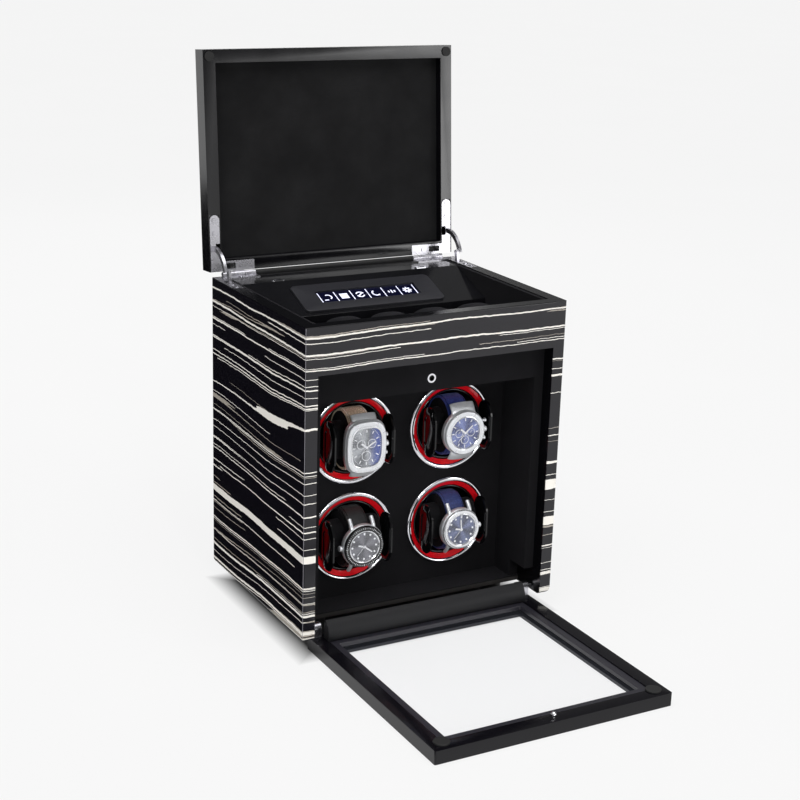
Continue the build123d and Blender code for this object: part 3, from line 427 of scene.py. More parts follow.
def makeRings():
    # chrome ring: rolled outer edge, flat land and a fine inner lip; red ring slopes in behind it
    outer, inner, face, behind, stand, roll = ringShape.values()
    top = face - stand
    bend = np.linspace(0, np.pi / 2, 8)
    edge = [(outer - roll + roll * np.cos(t), top + roll - roll * np.sin(t)) for t in bend]
    chrome = [(inner + 0.9 * mm, behind), (outer - 0.1 * mm, face), *edge,
              (inner + 1.3 * mm, top), (inner + 0.9 * mm, top + 0.25 * mm),
              (inner + 0.5 * mm, top), (inner, top + 0.6 * mm), (inner, behind)]
    red = [(inner - 0.05 * mm, face - 1.6 * mm), (inner - 0.05 * mm, behind - 0.1 * mm),
           (inner - 1 * mm, behind - 0.1 * mm), (inner - 1 * mm, face + 2 * mm), (34.6 * mm, face + 2 * mm),
           (34.5 * mm, face + 1.1 * mm), (36.6 * mm, face - 0.1 * mm)]
    rings = together([lathe(spot, chrome) for spot in quarters.values()])
    cones = together([lathe(spot, red) for spot in quarters.values()])
    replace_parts(addPiece("trimRings", rings, chromePlate, "case", 40), "trim_rings")
    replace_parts(addPiece("accentRings", cones, redAcrylic, "case", 40), "accent_rings")


makeRings()
print("rings made")

cheekShape = {
    "reach": 27.5 * mm,  # from the cup's middle line to the cheek's inner face
    # corners (y, z) of the plate's upper half, from back to front
    "corners": [(-39.7, 17.5), (-45.7, 23.5), (-55.0, 23.5), (-62.0, 13.0)],
    # (size, distance out from the inner face in mm): sunk middle panel, raised rim, chamfered edge
    "levels": [(0, 0.8), (0.58, 0.8), (0.64, 0.0), (0.84, 0.0), (1.0, 1.3),
               (1.0, 2.9), (0.86, 4.0), (0.66, 4.0), (0.60, 3.2), (0, 3.2)],
    "points": 96,
}


def cheek(spot, side):
    # octagonal plate: corners joined by straight runs and rounded by averaging, drawn in for each level
    g = cheekShape
    upper = np.array(g["corners"])
    corners = np.concatenate([upper, upper[::-1] * (1, -1), upper[:1]])
    run = np.concatenate([[0], np.cumsum(np.linalg.norm(np.diff(corners, axis=0), axis=1))])
    at = np.linspace(0, run[-1], g["points"], endpoint=False)
    outline = np.stack([np.interp(at, run, corners[:, 0]), np.interp(at, run, corners[:, 1])], axis=-1)
    outline = sum(np.roll(outline, shift, axis=0) for shift in range(-2, 3)) / 5
    middle = outline.mean(axis=0)
    levels = np.array(g["levels"])
    plane = middle + levels[:, None, :1] * (outline - middle)[None]
    x = spot[0] + side * (g["reach"] + levels[:, 1:] * mm) + 0 * plane[..., 0]
    points = np.stack([x, plane[..., 0] * mm, spot[1] + plane[..., 1] * mm], axis=-1)
    return points.reshape(-1, 3), gridFaces(len(levels), g["points"], False, True)


cupShape = {
    # (radius, y) in mm: floor and wall inside, then from the rim back over the outside, hub and shaft
    "inside": [(0, -3), (30, -3), (32, -5)],
    "lip": (33, -33.4, 1),  # radius and y of the rim's middle, radius of its roll
    "outside": [(34, -1), (33, 0), (16, 0), (16, 1.4), (14, 1.5), (14, 6.5), (16, 6.6), (16, 8), (4, 8),
                (4, 21.6), (3.6, 22), (0, 22)],
    "arm": (29, -4, -44, 8.5),  # distance out, y where it starts and ends, half its height
}


def makeCup(quarter, spot):
    # lathed cup with a rolled lip, belt hub and shaft, and its two cheeks with the arms that carry them
    radius, y, roll = cupShape["lip"]
    lip = [(radius + roll * np.cos(t), y - roll * np.sin(t)) for t in np.linspace(np.pi, 0, 9)]
    cup = np.array([*cupShape["inside"], *lip, *cupShape["outside"]]) * mm
    parts = [lathe(spot, cup)]
    out, start, end, half = np.array(cupShape["arm"]) * mm
    for side in (-1, 1):
        parts.append(cheek(spot, side))
        arm = [(spot[0] + side * out, y, spot[1]) for y in np.linspace(start, end, 12)]
        parts.append(tube(arm, half, 24, 0.17))
    shape = together(parts)
    piece = addPiece("winderCup_" + quarter, shape, glossAbs, "winder_" + quarter, 30)
    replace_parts(piece, "winder_cup_" + quarter)


for quarter, spot in quarters.items():
    makeCup(quarter, spot)
print("cups made")

# stainless steel cases, brushed: pale grey with a broad soft shine
satinSteel = metalMaterial("satinStainlessSteel", "#cfd1d5", "#eceef1", 0.36, (900, 900, 150), Metallic=0.6,
                           Specular_IOR_Level=0.5)
# the same steel polished, on rims, hands and screws: small hard glints
polishedSteel = metalMaterial("polishedStainlessSteel", "#d8dade", "#f0f1f4", 0.12, (120, 120, 120),
                              Metallic=0.75)
# sintered ceramic of the diver's bezel: glassy black
bezelCeramic = glossMaterial("blackCeramicBezel", "#0a0b0d", "#15161a", 0.12, 0.4, 200)
# luminous paint of marks and thread of the pale strap: chalky white
lumeWhite = glossMaterial("whiteLumePaint", "#e8eaee", "#fbfcff", 0.5, 0.0, 900, 0.00002)


def dialMaterial(name, low, high, spot, accent=None):
    # lacquered dial whose colour carries a painted sunburst reflection, brightness waves round the centre;
    # an accent colour on one side
    material, tree, shader, place = startMaterial(name, Metallic=0.35, Roughness=0.3, Coat_Weight=0.3)
    centred = addNode(tree, "Mapping", {"Vector": place, "Location": (-spot[0], 0, -spot[1])})
    x, y, z = addNode(tree, "SeparateXYZ", {"Vector": centred}).node.outputs
    # painted reflection: four bright and dark sectors, as a sunburst finish would reflect light, set into
    # the colour; the fine noise is the dial's own texture
    turn = addNode(tree, "Math", {0: z, 1: x}, operation="ARCTAN2")
    turn = addNode(tree, "Math", {0: turn, 1: 4.0}, operation="MULTIPLY")
    wave = addNode(tree, "Math", {0: turn}, operation="SINE")
    fine = {"Vector": place, "Scale": 900.0, "Detail": 3.0, "Roughness": 0.7}
    fine = addNode(tree, "TexNoise", fine)
    tone = addNode(tree, "Math", {0: wave, 1: 0.25, 2: fine}, operation="MULTIPLY_ADD")
    tone = addNode(tree, "MapRange", {"Value": tone, "From Min": 0.2, "From Max": 0.85})
    finishLinks(tree, shader, tone, low, high, fine, 0.00006, 0.5)
    if accent:
        sunburst = shader["Base Color"].links[0].from_socket
        across = addNode(tree, "MapRange", {"Value": x, "From Min": 2 * mm, "From Max": 11 * mm})
        colour = addNode(tree, "Mix", {"Factor": across, "A": sunburst, "B": hexColour(accent)},
                         "Result", data_type="RGBA")
        tree.links.new(colour, shader["Base Color"])
    return material


def leatherMaterial(name, low, high):
    # calf leather: 2 mm pebbled cells with darker creases; a weak emission in its light colour is a painted
    # glow that lifts the strap out of the cavity's shade
    material, tree, shader, place = startMaterial(name, Roughness=0.55, Sheen_Weight=0.1,
                                                  Emission_Color=hexColour(high), Emission_Strength=0.08)
    cells = addNode(tree, "TexVoronoi", {"Vector": place, "Scale": 420.0}, "Distance",
                    feature="DISTANCE_TO_EDGE")
    crease = addNode(tree, "MapRange", {"Value": cells, "From Max": 0.25})
    cloud = addNode(tree, "TexNoise", {"Vector": place, "Scale": 90.0, "Detail": 3.0})
    tone = addNode(tree, "Math", {0: crease, 1: cloud}, operation="MULTIPLY")
    tone = addNode(tree, "MapRange", {"Value": tone, "From Min": 0.1, "From Max": 0.6})
    finishLinks(tree, shader, tone, low, high, crease, 0.00015, 0.7)
    return material


sapphire = clearMaterial("sapphireCrystal", 0.05, 1.7, "#e6eaf6", "#ffffff", 60.0)
watchKinds = {
    # half width and height in mm, superellipse power, dial opening as a share of the head; strap width,
    # horns or broad end pieces and how far they reach past the head, side of the crown
    "upper_left": {
        "half": (20.5, 25.0), "power": 3.3, "opening": 0.74,
        "strap": 22, "horns": False, "lugs": 3.2, "crown": 1,
        "dial": ("#55585c", "#b0b3b8", "#1f3f96"), "strapColour": ("#a48f78", "#dcc9b0"), "bezel": "satin",
        "marks": "bars", "small": [(-5.5, 3.0, 4.2), (5.5, 3.0, 4.2), (0.0, -8.0, 4.6)], "screws": 8,
        "hands": (305, 62),
    },
    "upper_right": {
        "half": (21.5, 21.5), "power": 2.0, "opening": 0.72,
        "strap": 22, "horns": False, "lugs": 4.6, "crown": 1,
        "dial": ("#1c2a62", "#7482bd", None), "strapColour": ("#1a2766", "#31448f"), "bezel": "satin",
        "marks": "bars", "small": [(-6.2, 0.0, 4.0), (6.2, 0.0, 4.0), (0.0, -6.6, 4.0)], "screws": 6,
        "hands": (310, 50),
    },
    "lower_left": {
        "half": (20.5, 20.5), "power": 2.0, "opening": 0.72,
        "strap": 20, "horns": True, "lugs": 4.2, "crown": -1,
        "dial": ("#3a3a3f", "#77777f", None), "strapColour": ("#08080a", "#18181b"), "bezel": "ceramic",
        "marks": "dots", "small": [], "screws": 0, "hands": (285, 128),
    },
    "lower_right": {
        "half": (20.0, 20.0), "power": 2.0, "opening": 0.76,
        "strap": 20, "horns": True, "lugs": 3.8, "crown": 1,
        "dial": ("#20263f", "#66719a", None), "strapColour": ("#1a2452", "#2f3f7a"), "bezel": "polished",
        "marks": "dots", "small": [], "screws": 0, "hands": (282, 355),
    },
}

strapShape = {
    "middle": -34,  # y of the cuff's middle line, mm like the rest
    "halfDepth": 21.35,
    "halfHeight": 27.35,
    "halfThick": 1.1,
    "crowned": 0.35,  # how much thicker the strap's middle is outside
    "stitches": 90,
    "fromEdge": 1.6,
    "stitch": (0.55, 0.2, 0.25),  # half length, half width and height
}


def strapLoop(spot, width):
    # superellipse section (across, through) swept round the cuff's ellipse, crowned outside
    t = np.linspace(0, 2 * np.pi, 120, endpoint=False)
    p = np.linspace(0, 2 * np.pi, 28, endpoint=False)
    t, p = np.meshgrid(t, p, indexing="ij")
    across = bent(np.cos(p), 0.45) * width / 2
    through = bent(np.sin(p), 0.5) * strapShape["halfThick"]
    crowned = 1 + strapShape["crowned"] * np.cos(across / width * np.pi)
    through = np.where(through > 0, through * crowned, through)
    a, b = strapShape["halfDepth"], strapShape["halfHeight"]
    ny, nz = b * np.cos(t), a * np.sin(t)
    size = np.hypot(ny, nz)
    y = strapShape["middle"] + a * np.cos(t) + through * ny / size
    z = b * np.sin(t) + through * nz / size
    points = np.stack([spot[0] + across * mm, y * mm, spot[1] + z * mm], axis=-1)
    return points.reshape(-1, 3), gridFaces(120, 28, True, True)


def stitches(spot, width):
    # two rows of thread along the strap's edges, each stitch a short bar lying on the loop
    t = np.linspace(0, 2 * np.pi, strapShape["stitches"], endpoint=False)
    a, b = strapShape["halfDepth"] + 1.2, strapShape["halfHeight"] + 1.2
    y, z = strapShape["middle"] + a * np.cos(t), b * np.sin(t)
    ty, tz = -a * np.sin(t), b * np.cos(t)
    size = np.hypot(ty, tz)
    ty, tz = ty / size, tz / size
    long, wide, high = strapShape["stitch"]
    corners = [(l, w, h) for h in (0, high) for l in (-long, long) for w in (-wide, wide)]
    shapes = []
    for x in (-width / 2 + strapShape["fromEdge"], width / 2 - strapShape["fromEdge"]):
        points = [np.stack([spot[0] + (x + w) * mm + 0 * t, (y + l * ty + h * tz) * mm,
                            spot[1] + (z + l * tz - h * ty) * mm], axis=-1) for l, w, h in corners]
        faces = (np.arange(len(t))[:, None, None] * 8 + boxQuads[None]).reshape(-1, 4)
        shapes.append((np.stack(points, axis=1).reshape(-1, 3), faces))
    return together(shapes)


def knob(x, side, spot, profile, columns=24):
    # crown or pusher turned about a line along X; profile is (radius, distance out from the case)
    points, faces = loft((0, 0), mm, mm, 2.0, profile, columns)
    out = np.stack([x + side * points[:, 1], points[:, 0] + spot[0], points[:, 2] + spot[1]], axis=-1)
    return out, faces


watchProfiles = {
    # (share of the head's half width, y in mm)
    "case": [(0, -55.0), (0.78, -55.0), (0.93, -56.2), (0.99, -57.8), (1.0, -60.0), (1.0, -62.2),
             (0.975, -62.9), (0, -62.9)],
    "bezel": [(0.965, -62.7), (0.975, -63.4), (0.965, -64.4), (0.93, -65.3)],
    # (share to add to the dial opening, y in mm)
    "bezelInside": [(0.07, -65.6), (0.02, -65.3), (0, -64.6), (0, -62.7)],
    "rim": [(0.03, -65.2), (0.03, -65.75), (0.005, -65.85), (-0.02, -65.6), (-0.02, -64.9)],
    # (share of the dial opening, y in mm) over the glass and back under it, in to its edge
    "crystalTop": [(0, -66.4), (0.4, -66.35), (0.8, -66.1)],
    "crystalEdge": [(-0.02, -65.75), (-0.02, -65.4)],
    "crystalUnder": [(0.8, -65.75), (0, -66.0)],
    # (radius, distance out from the case) in mm
    "crown": [(0, 0), (1.4, 0), (1.4, 0.9), (2.5, 1.0), (2.7, 1.3), (2.7, 3.0), (2.4, 3.4), (0, 3.5)],
    "pusher": [(0, 0), (1.3, 0), (1.3, 3.0), (1.9, 3.1), (1.9, 4.2), (0, 4.4)],
    "lugFrom": 0.62,  # share of the head's half height where the lugs start
    "dial": (-64.1, -63.0),  # y of its face and back
    "subDial": (0.5, -64.45, -64.0),  # width of its ring, y of its face and back
    "ticks": (0.95, 60, 0.9, 0.22),  # share of the opening, count, length and width
    "bezelMarks": (0.865, 1.9, 0.9, 0.35),  # share of the head, length of each fifth, of the rest, width
    "hands": [(8.0, 1.7), (11.5, 1.3), (12.5, 0.4)],  # length and width
    "secondsAt": 222,  # degrees
}


def drum(radius, top, bottom, ease=0.0):
    # profile of a short closed cylinder between two depths in mm, its top edge eased
    eased = [(0.8 * radius, top * mm), (radius, (top + ease) * mm)] if ease else [(radius, top * mm)]
    return [(0, top * mm), *eased, (radius, bottom * mm), (0, bottom * mm)]


def makeWatch(quarter, spot):
    kind, g = watchKinds[quarter], watchProfiles
    w, h = np.array(kind["half"]) * mm
    power, hole = kind["power"], kind["opening"]
    body = "cuff_" + quarter
    face, back = g["dial"]

    def part(name, shape, material, sharp=35):
        return addPiece(name + "_" + quarter, shape, material, body, sharp)

    def levels(name, start=0, share=1):
        return [(start + share * scale, y * mm) for scale, y in g[name]]

    def around(turn, share):
        # points on the head's ellipse at these clock angles
        return np.stack([spot[0] + np.sin(turn) * w * share, spot[1] + np.cos(turn) * h * share], axis=-1)

    def flat(middles, long, wide, turn, top, bottom):
        return bars(middles, np.stack([long, wide + 0 * long], axis=-1) * mm, turn, (top * mm, bottom * mm))

    lugs = []
    reach = np.linspace(0, 1, 12)
    # two horns, or one broad end piece where the strap joins the case directly
    sides, radius, flatten = (0,), kind["strap"] / 2 + 1.5, 0.2
    if kind["horns"]:
        sides, radius, flatten = (-1, 1), 1.9, 0.85
    for end in (-1, 1):
        for side in sides:
            x = spot[0] + side * (kind["strap"] / 2 + 1.0) * mm
            start = h * g["lugFrom"]
            z = spot[1] + end * (start + reach * (h + kind["lugs"] * mm - start))
            y = (-61.0 + 6.0 * reach ** 2) * mm
            lugs.append(tube(np.stack([0 * z + x, y, z], axis=-1), radius * mm, 24, flatten))
    toCrown = kind["crown"]
    crownX = spot[0] + toCrown * (w - 0.4 * mm)
    crown = [knob(crownX, toCrown, (-60 * mm, spot[1]), levels("crown"))]
    for rise in (-8.5, 8.5) if kind["small"] else ():
        place = (-60 * mm, spot[1] + rise * mm)
        crown.append(knob(crownX - toCrown * 1.6 * mm, toCrown, place, levels("pusher")))
    shape = together([loft(spot, w, h, power, levels("case")), *lugs, *crown])
    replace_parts(part("watchCase", shape, satinSteel), "watch_" + quarter)

    finish = {"satin": satinSteel, "ceramic": bezelCeramic, "polished": polishedSteel}[kind["bezel"]]
    bezel = levels("bezel") + levels("bezelInside", hole)
    part("watchBezel", loft(spot, w, h, power, bezel, closed=True), finish)
    part("watchRim", loft(spot, w, h, power, levels("rim", hole), closed=True), polishedSteel)
    low, high, accent = kind["dial"]
    dial = loft(spot, w, h, power, drum(hole - 0.005, face, back))
    part("watchDial", dial, dialMaterial("dial_" + quarter, low, high, spot, accent))
    crystal = levels("crystalTop", 0, hole) + levels("crystalEdge", hole) + levels("crystalUnder", 0, hole)
    part("watchCrystal", loft(spot, w, h, power, crystal), sapphire)

    turns = np.arange(12) * np.pi / 6
    marks = around(turns, hole * 0.82)
    if kind["marks"] == "bars":
        shapes = [flat(marks, np.full(12, 2.6), 0.75, turns, face - 0.4, face)]
    else:
        shapes = [loft(mark, 0.95 * mm, 0.95 * mm, 2.0, drum(1, face - 0.4, face), 16) for mark in marks[1:]]
        shapes.append(flat(marks[:1], np.array([2.4]), 1.5, [0.0], face - 0.4, face))
    share, count, long, wide = g["ticks"]
    ticks = np.arange(count) * 2 * np.pi / count
    shapes.append(flat(around(ticks, hole * share), np.full(count, long), wide, ticks, face - 0.25, face))
    if kind["bezel"] == "ceramic":
        share, fifth, other, wide = g["bezelMarks"]
        long = np.where(np.arange(count) % 5 == 0, fifth, other)
        shapes.append(flat(around(ticks, share), long, wide, ticks, -65.62, -65.2))
    part("watchMarks", together(shapes), lumeWhite)

    pointers = []
    for (length, width), degrees in zip(g["hands"], (*kind["hands"], g["secondsAt"])):
        turn = math.radians(degrees)
        away = (length / 2 - 1.5) * mm
        middle = (spot[0] + math.sin(turn) * away, spot[1] + math.cos(turn) * away)
        pointers.append(flat([middle], np.array([length]), width, [turn], -65.0, -64.75))
    pointers.append(loft(spot, 1.2 * mm, 1.2 * mm, 2.0, drum(1, -65.2, -64.0), 20))
    wide, top, bottom = g["subDial"]
    for x, z, radius in kind["small"]:
        centre = (spot[0] + x * mm, spot[1] + z * mm)
        ring = [(radius, top), (radius, bottom), (radius - wide, bottom), (radius - wide, top)]
        pointers.append(lathe(centre, np.array(ring) * mm, 40))
        middle = (centre[0], centre[1] + 1.0 * mm)
        pointers.append(flat([middle], np.array([3.0]), 0.4, [0.7], -64.6, -64.4))
    part("watchHands", together(pointers), polishedSteel)
    if kind["screws"]:
        spread = (np.arange(kind["screws"]) + 0.5) * 2 * np.pi / kind["screws"]
        # the superellipse of the head, drawn in to the bezel's middle
        at = [(bent(np.sin(a), 2 / power), bent(np.cos(a), 2 / power)) for a in spread]
        heads = [loft((spot[0] + x * w * 0.87, spot[1] + z * h * 0.87), 1.0 * mm, 1.0 * mm, 2.0,
                      drum(1, -65.65, -65.0, 0.15), 16) for x, z in at]
        part("watchScrews", together(heads), polishedSteel)
    low, high = kind["strapColour"]
    leather = leatherMaterial("strap_" + quarter, low, high)
    part("watchStrap", strapLoop(spot, kind["strap"]), leather)
    thread = lumeWhite if quarter == "upper_left" else glossAbs
    part("strapStitches", stitches(spot, kind["strap"]), thread)


for quarter, spot in quarters.items():
    makeWatch(quarter, spot)
print("watches made")

cushionShape = {
    "voxel": 5 * mm,
    "pressure": 4.0,
    "shrink": 1.5 * mm,
    "cap": 3.0 * mm,
}


def swollen(piece, lowest, highest):
    # cloth with air pressure in it; no point travels further than the cap or out of the cushion's space
    start = np.empty(len(piece.data.vertices) * 3)
    piece.data.vertices.foreach_get("co", start)
    cloth = piece.modifiers.new("air", "CLOTH")
    cloth.settings.use_pressure = True
    cloth.settings.uniform_pressure_force = cushionShape["pressure"]
    cloth.settings.effector_weights.gravity = 0
    cloth.settings.quality = 4
    for step in range(1, 21):
        bpy.context.scene.frame_set(step)
    graph = bpy.context.evaluated_depsgraph_get()
    swelled = piece.evaluated_get(graph).to_mesh()
    end = np.empty(len(start))
    swelled.vertices.foreach_get("co", end)
    piece.modifiers.clear()
    travel = (end - start).reshape(-1, 3)
    size = np.maximum(np.linalg.norm(travel, axis=1, keepdims=True), 1e-9)
    travel *= np.minimum(1, cushionShape["cap"] / size)
    moved = np.clip(start.reshape(-1, 3) + travel, lowest, highest)
    piece.data.vertices.foreach_set("co", moved.ravel())
    piece.data.update()
    bpy.context.scene.frame_set(1)


def makeCushion(index):
    # pillow roll: superellipsoid in the cushion's box, |x|^n + |y|^n + |z|^n = 1
    low, high = np.array(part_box("cushion_%d" % index))
    low, high = low + 0.4 * mm, high - 0.4 * mm
    middle, half = (low + high) / 2, (high - low) / 2 - cushionShape["shrink"]
    v = np.linspace(0, np.pi, 40)
    u = np.linspace(0, 2 * np.pi, 64, endpoint=False)
    v, u = np.meshgrid(v, u, indexing="ij")
    ring = bent(np.sin(v), 0.55)
    unit = [ring * bent(np.cos(u), 0.5), bent(np.cos(v), 0.3), ring * bent(np.sin(u), 0.55)]
    unit = np.stack(unit, axis=-1)
    points = middle + half * unit
    piece = addPiece("cushion_%d.pad" % index, (points.reshape(-1, 3), gridFaces(40, 64, False, True)),
                     cuffSuede, "cushion_body_%d" % index, 60)
    work = piece.modifiers.new("even", "REMESH")
    work.mode = "VOXEL"
    work.voxel_size = cushionShape["voxel"]
    graph = bpy.context.evaluated_depsgraph_get()
    even = bpy.data.meshes.new_from_object(piece.evaluated_get(graph))
    piece.modifiers.clear()
    even.materials.clear()
    even.materials.append(cuffSuede)
    even.polygons.foreach_set("use_smooth", np.ones(len(even.polygons), dtype=bool))
    piece.data = even
    swollen(piece, low, high)
    smooth = piece.modifiers.new("smooth", "SUBSURF")
    smooth.levels = smooth.render_levels = 1
    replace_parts(piece, "cushion_%d" % index)
    return piece


for index in range(1, 6):
    makeCushion(index)
print("cushions made")

consoleFrame = {
    "origin": (0.0, 68 * mm, 284 * mm),
    "slope": math.radians(20.2),
    "screenMiddle": -34.15 * mm,  # down the slope from the console's back edge
    "screenTop": 0.4 * mm,
    "cells": 6,
    "pitch": 16.6 * mm,
    "barHeight": 15.5 * mm,
}


def onConsole(points):
    # local (x, out of the surface, up the slope) to the object's frame
    origin, slope = np.array(consoleFrame["origin"]), consoleFrame["slope"]
    up = np.array([0, math.cos(slope), math.sin(slope)])
    out = np.array([0, -math.sin(slope), math.cos(slope)])
    return origin + points[:, :1] * np.array([1.0, 0, 0]) + points[:, 1:2] * out + points[:, 2:] * up


def makeIcons():
    # plain control icons in six cells, each cell ended by a white bar
    g = consoleFrame
    middle, top = g["screenMiddle"], g["screenTop"]
    depths = (top + 0.12 * mm, top - 0.05 * mm)
    count = g["cells"]
    ends = (np.arange(count + 1) - count / 2) * g["pitch"]
    cell = (np.arange(count) - (count - 1) / 2) * g["pitch"]

    def arc(number, x, z, radius, width, start, end, points=28):
        t = np.radians(np.linspace(start, end, points))
        inner, outer = (radius - width / 2) * mm, (radius + width / 2) * mm
        x, z = cell[number] + x * mm, middle + z * mm
        rims = [np.stack([x + r * np.cos(t), 0 * t + y, z + r * np.sin(t)], axis=-1)
                for r, y in ((inner, depths[0]), (outer, depths[0]), (outer, depths[1]), (inner, depths[1]))]
        caps = [(rims[0][at] + rims[2][at]) * 0.5 for at in (slice(0, 1), slice(-1, None))]
        rims = [np.concatenate([caps[0], rim, caps[1]]) for rim in rims]
        return np.stack(rims, axis=1).reshape(-1, 3), gridFaces(points + 2, 4, False, True)

    def bar(number, x, z, high, wide, turn=0.0):
        spot = (cell[number] + x * mm, middle + z * mm)
        return bars([spot], [(high * mm, wide * mm)], [turn], depths)

    shapes = [bars([(x, middle) for x in ends], [(g["barHeight"], 0.9 * mm)] * (count + 1),
                   [0.0] * (count + 1), depths),
              arc(0, 0, 0.5, 3.4, 1.3, -60, 120), bar(0, -3, -4, 1.4, 4.0), bar(1, 0, 0, 8, 8),
              arc(2, 0, 0, 3.8, 1.4, 20, 160), arc(2, 0, 0, 3.8, 1.4, 200, 340), bar(2, 0, 0, 6, 1.4, 0.8),
              arc(3, 0, 0, 3.8, 1.5, 110, 320),
              bar(4, -3, 0, 3, 1.5), bar(4, 0, 0, 5, 1.5), bar(4, 3, 0, 3, 1.5)]
    for turn in np.arange(8) * np.pi / 4:
        shapes.append(bar(5, 3.3 * np.sin(turn), 3.3 * np.cos(turn), 2.6, 1.5, turn))
    shapes.append(arc(5, 0, 0, 2.2, 1.6, 0, 359, 40))
    points, faces = together(shapes)
    addPiece("screenIcons", (onConsole(points), faces), litIcon, "case")


makeIcons()
print("display made")


def softened(node, material, body, width, segments=3, degrees=35):
    # the node's own shape with its sharp edges eased, so they catch a line of light
    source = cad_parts[node]
    work = bmesh.new()
    work.from_mesh(source.data)
    bmesh.ops.remove_doubles(work, verts=work.verts, dist=5e-6)
    mesh = bpy.data.meshes.new(node + ".eased")
    work.to_mesh(mesh)
    work.free()
    mesh.materials.append(material)
    mesh.polygons.foreach_set("use_smooth", np.ones(len(mesh.polygons), dtype=bool))
    mesh.set_sharp_from_angle(angle=math.radians(degrees))
    piece = intoScene(node + ".eased", mesh)
    ease = piece.modifiers.new("ease", "BEVEL")
    ease.width = width
    ease.segments = segments
    ease.limit_method = "ANGLE"
    ease.angle_limit = math.radians(degrees)
    ease.use_clamp_overlap = True
    ease.harden_normals = True
    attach(piece, body)
    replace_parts(piece, node)
    return piece


edgeEase = {
    "display_bezel": (bezelAbs, "case", "bezel_satin", 0.9 * mm),
    "lid_shell": (pianoLacquer, "lid", "black_lacquer", 0.7 * mm),
    "door_frame": (doorLacquer, "door", "door_gloss", 0.6 * mm),
    "glazing_bead": (beadAbs, "door", "bead_satin", 0.5 * mm),
    "console_panel": (consoleAbs, "case", "console_gloss", 0.5 * mm),
}
for node, (material, body, slotName, width) in edgeEase.items():
    softened(node, material, body, width)
print("edges eased")

stageSettings = {
    "level": -17.05 * mm,
    "half": 60.0,
    "glow": 0.80,  # the paper is lit from below, so that only a faint shadow shows
    "flag": ((-1.7, -0.135), (-0.35, 2.2)),  # black card on the floor at the left, for reflections only
    # painted contact shadow: no glow under the case; half widths where it ends and is full again, across and
    # in depth
    "shade": ((0.112, 0.137), (0.085, 0.109)),
}


def flatSheet(name, across, deep, level):
    # evenly divided level rectangle
    x, y = np.meshgrid(np.linspace(*across, 5), np.linspace(*deep, 5), indexing="ij")
    points = np.stack([x, y, 0 * x + level], axis=-1).reshape(-1, 3)
    mesh = bpy.data.meshes.new(name)
    mesh.from_pydata(points.tolist(), [], gridFaces(5, 5, False, False).tolist())
    sheet = intoScene(name, mesh)
    return sheet


def makeStage():
    # wide pale floor that glows but for a painted shadow under the case; black card that keeps its glare
    # out of the left side
    half, level = stageSettings["half"], stageSettings["level"]
    floor = flatSheet("paperFloor", (-half, half), (-half, half), level)
    material, tree, shader, place = startMaterial(
        "paleFloorPaper", Roughness=0.9, Specular_IOR_Level=0.0, Emission_Color=(1, 1, 1, 1))
    x, y, z = addNode(tree, "SeparateXYZ", {"Vector": place}).node.outputs
    lit = []
    # painted contact shadow: the floor's glow fades out under the case
    for across, (dark, full) in zip((x, y), stageSettings["shade"]):
        away = addNode(tree, "Math", {0: across}, operation="ABSOLUTE")
        ramp = {"Value": away, "From Min": dark, "From Max": full}
        lit.append(addNode(tree, "MapRange", ramp))
    lit = addNode(tree, "Math", {0: lit[0], 1: lit[1]}, operation="MAXIMUM")
    lit = addNode(tree, "Math", {0: lit, 1: stageSettings["glow"]}, operation="MULTIPLY")
    tree.links.new(lit, shader["Emission Strength"])
    tone = addNode(tree, "TexNoise", {"Vector": place, "Scale": 3.0})
    finishLinks(tree, shader, tone, "#5e5e5e", "#626262", tone, 0.0, 0.0)
    floor.data.materials.append(material)
    card = flatSheet("blackFlag", *stageSettings["flag"], level + 2 * mm)
    material, tree, shader, place = startMaterial("blackDuvetyne", Roughness=1.0, Specular_IOR_Level=0.0)
    tone = addNode(tree, "TexNoise", {"Vector": place, "Scale": 30.0})
    finishLinks(tree, shader, tone, "#020202", "#050505", tone, 0.0, 0.0)
    card.data.materials.append(material)
    for kind in ("camera", "diffuse", "shadow", "transmission", "volume_scatter"):
        setattr(card, "visible_" + kind, False)


makeStage()

cameraSettings = {
    "place": (-0.698, -1.2853, 0.6268),
    "yaw": 29.10,
    "down": 17.02,
    "roll": 1.69,
    "lens": 73.76,
}


def makeCamera():
    yaw, down, roll = (math.radians(cameraSettings[k]) for k in ("yaw", "down", "roll"))
    ahead = Vector((math.sin(yaw) * math.cos(down), math.cos(yaw) * math.cos(down), -math.sin(down)))
    right = Vector((math.cos(yaw), -math.sin(yaw), 0))
    up = right.cross(ahead)
    turnedRight = right * math.cos(roll) + up * math.sin(roll)
    turnedUp = -right * math.sin(roll) + up * math.cos(roll)
    turn = Matrix((turnedRight, turnedUp, -ahead)).transposed()
    data = bpy.data.cameras.new("viewCamera")
    data.lens = cameraSettings["lens"]
    data.sensor_width = 36
    data.clip_start = 0.01
    camera = intoScene("viewCamera", data)
    camera.matrix_world = Matrix.Translation(cameraSettings["place"]) @ turn.to_4x4()
    bpy.context.scene.camera = camera


makeCamera()

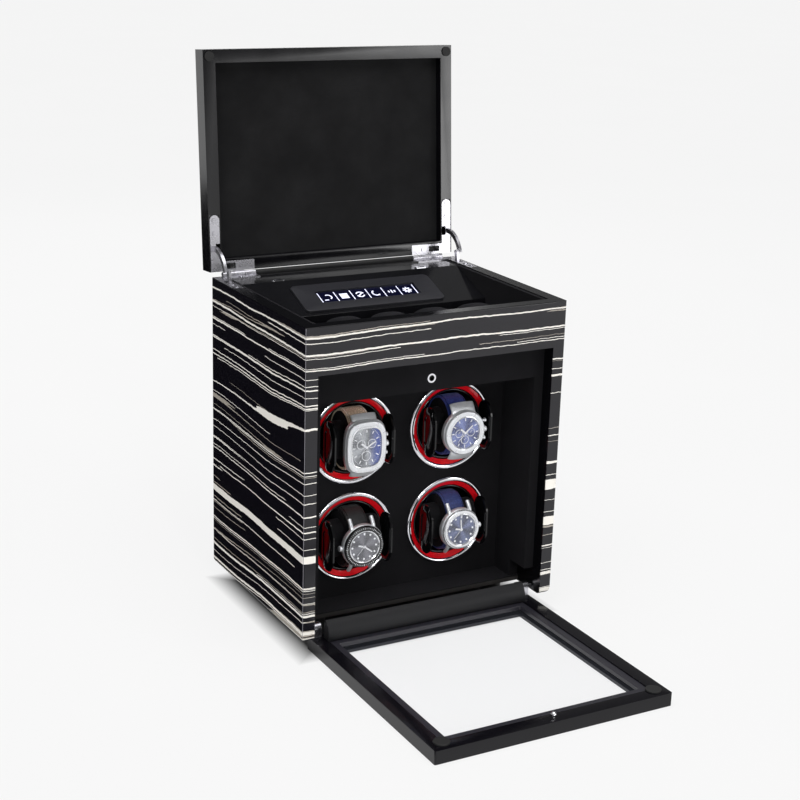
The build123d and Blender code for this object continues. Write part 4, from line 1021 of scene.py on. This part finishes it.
lightSettings = {
    "worldToCamera": "#f5f5f5",
    "worldGlow": 0.16,
    "sunWatts": 2.5,
    "sunSpread": 75,
    "snoot": ((-0.25, -1.7, 0.62), (0.0, -0.05, 0.125), 13, 60),  # place, aim, degrees, watts
    "boxes": {
        # name: place, aimed at, width, height, watts
        "overhead": ((-0.2, -0.3, 1.9), (0, 0, 0.1), 1.6, 1.6, 8),
        "leftSoft": ((-2.2, -1.4, 1.1), (0, 0, 0.2), 0.7, 1.6, 3),
        "frontSoft": ((1.5, -1.95, 0.5), (0, -0.1, 0.2), 0.55, 1.3, 11),
        "rearRim": ((0.5, 1.7, 1.2), (0, 0, 0.3), 1.2, 0.8, 5),
    },
}


def hang(name, data, place, aim):
    lamp = intoScene(name, data)
    lamp.location = place
    lamp.rotation_euler = (Vector(aim) - Vector(place)).to_track_quat("-Z", "Y").to_euler()


def makeLights():
    world = bpy.data.worlds.new("studio")
    bpy.context.scene.world = world
    world.use_nodes = True
    tree = world.node_tree
    tree.nodes.clear()
    seen, glow = (addNode(tree, "Background", {"Color": colour, "Strength": strength})
                  for colour, strength in ((hexColour(lightSettings["worldToCamera"]), 1.0),
                                           ((1, 1, 1, 1), lightSettings["worldGlow"])))
    direct = addNode(tree, "LightPath", output="Is Camera Ray")
    mix = addNode(tree, "MixShader", {0: direct, 1: glow, 2: seen})
    target = tree.nodes.new("ShaderNodeOutputWorld")
    tree.links.new(mix, target.inputs["Surface"])
    for name, (place, aim, width, height, watts) in lightSettings["boxes"].items():
        data = bpy.data.lights.new(name, "AREA")
        data.shape = "RECTANGLE"
        data.size, data.size_y = width, height
        data.energy = watts
        hang(name, data, place, aim)
    place, aim, degrees, watts = lightSettings["snoot"]
    snoot = bpy.data.lights.new("snoot", "SPOT")
    snoot.energy = watts
    snoot.spot_size = math.radians(degrees)
    snoot.spot_blend = 0.6
    snoot.shadow_soft_size = 0.22
    hang("snoot", snoot, place, aim)
    sunlight = bpy.data.lights.new("wideSky", "SUN")
    sunlight.energy = lightSettings["sunWatts"]
    sunlight.angle = math.radians(lightSettings["sunSpread"])
    lamp = bpy.data.objects.new("wideSky", sunlight)
    lamp.rotation_euler = (math.radians(12), math.radians(-10), 0)
    bpy.context.scene.collection.objects.link(lamp)


makeLights()
bpy.context.scene.view_settings.view_transform = "Standard"
print("stage, camera and lights set")
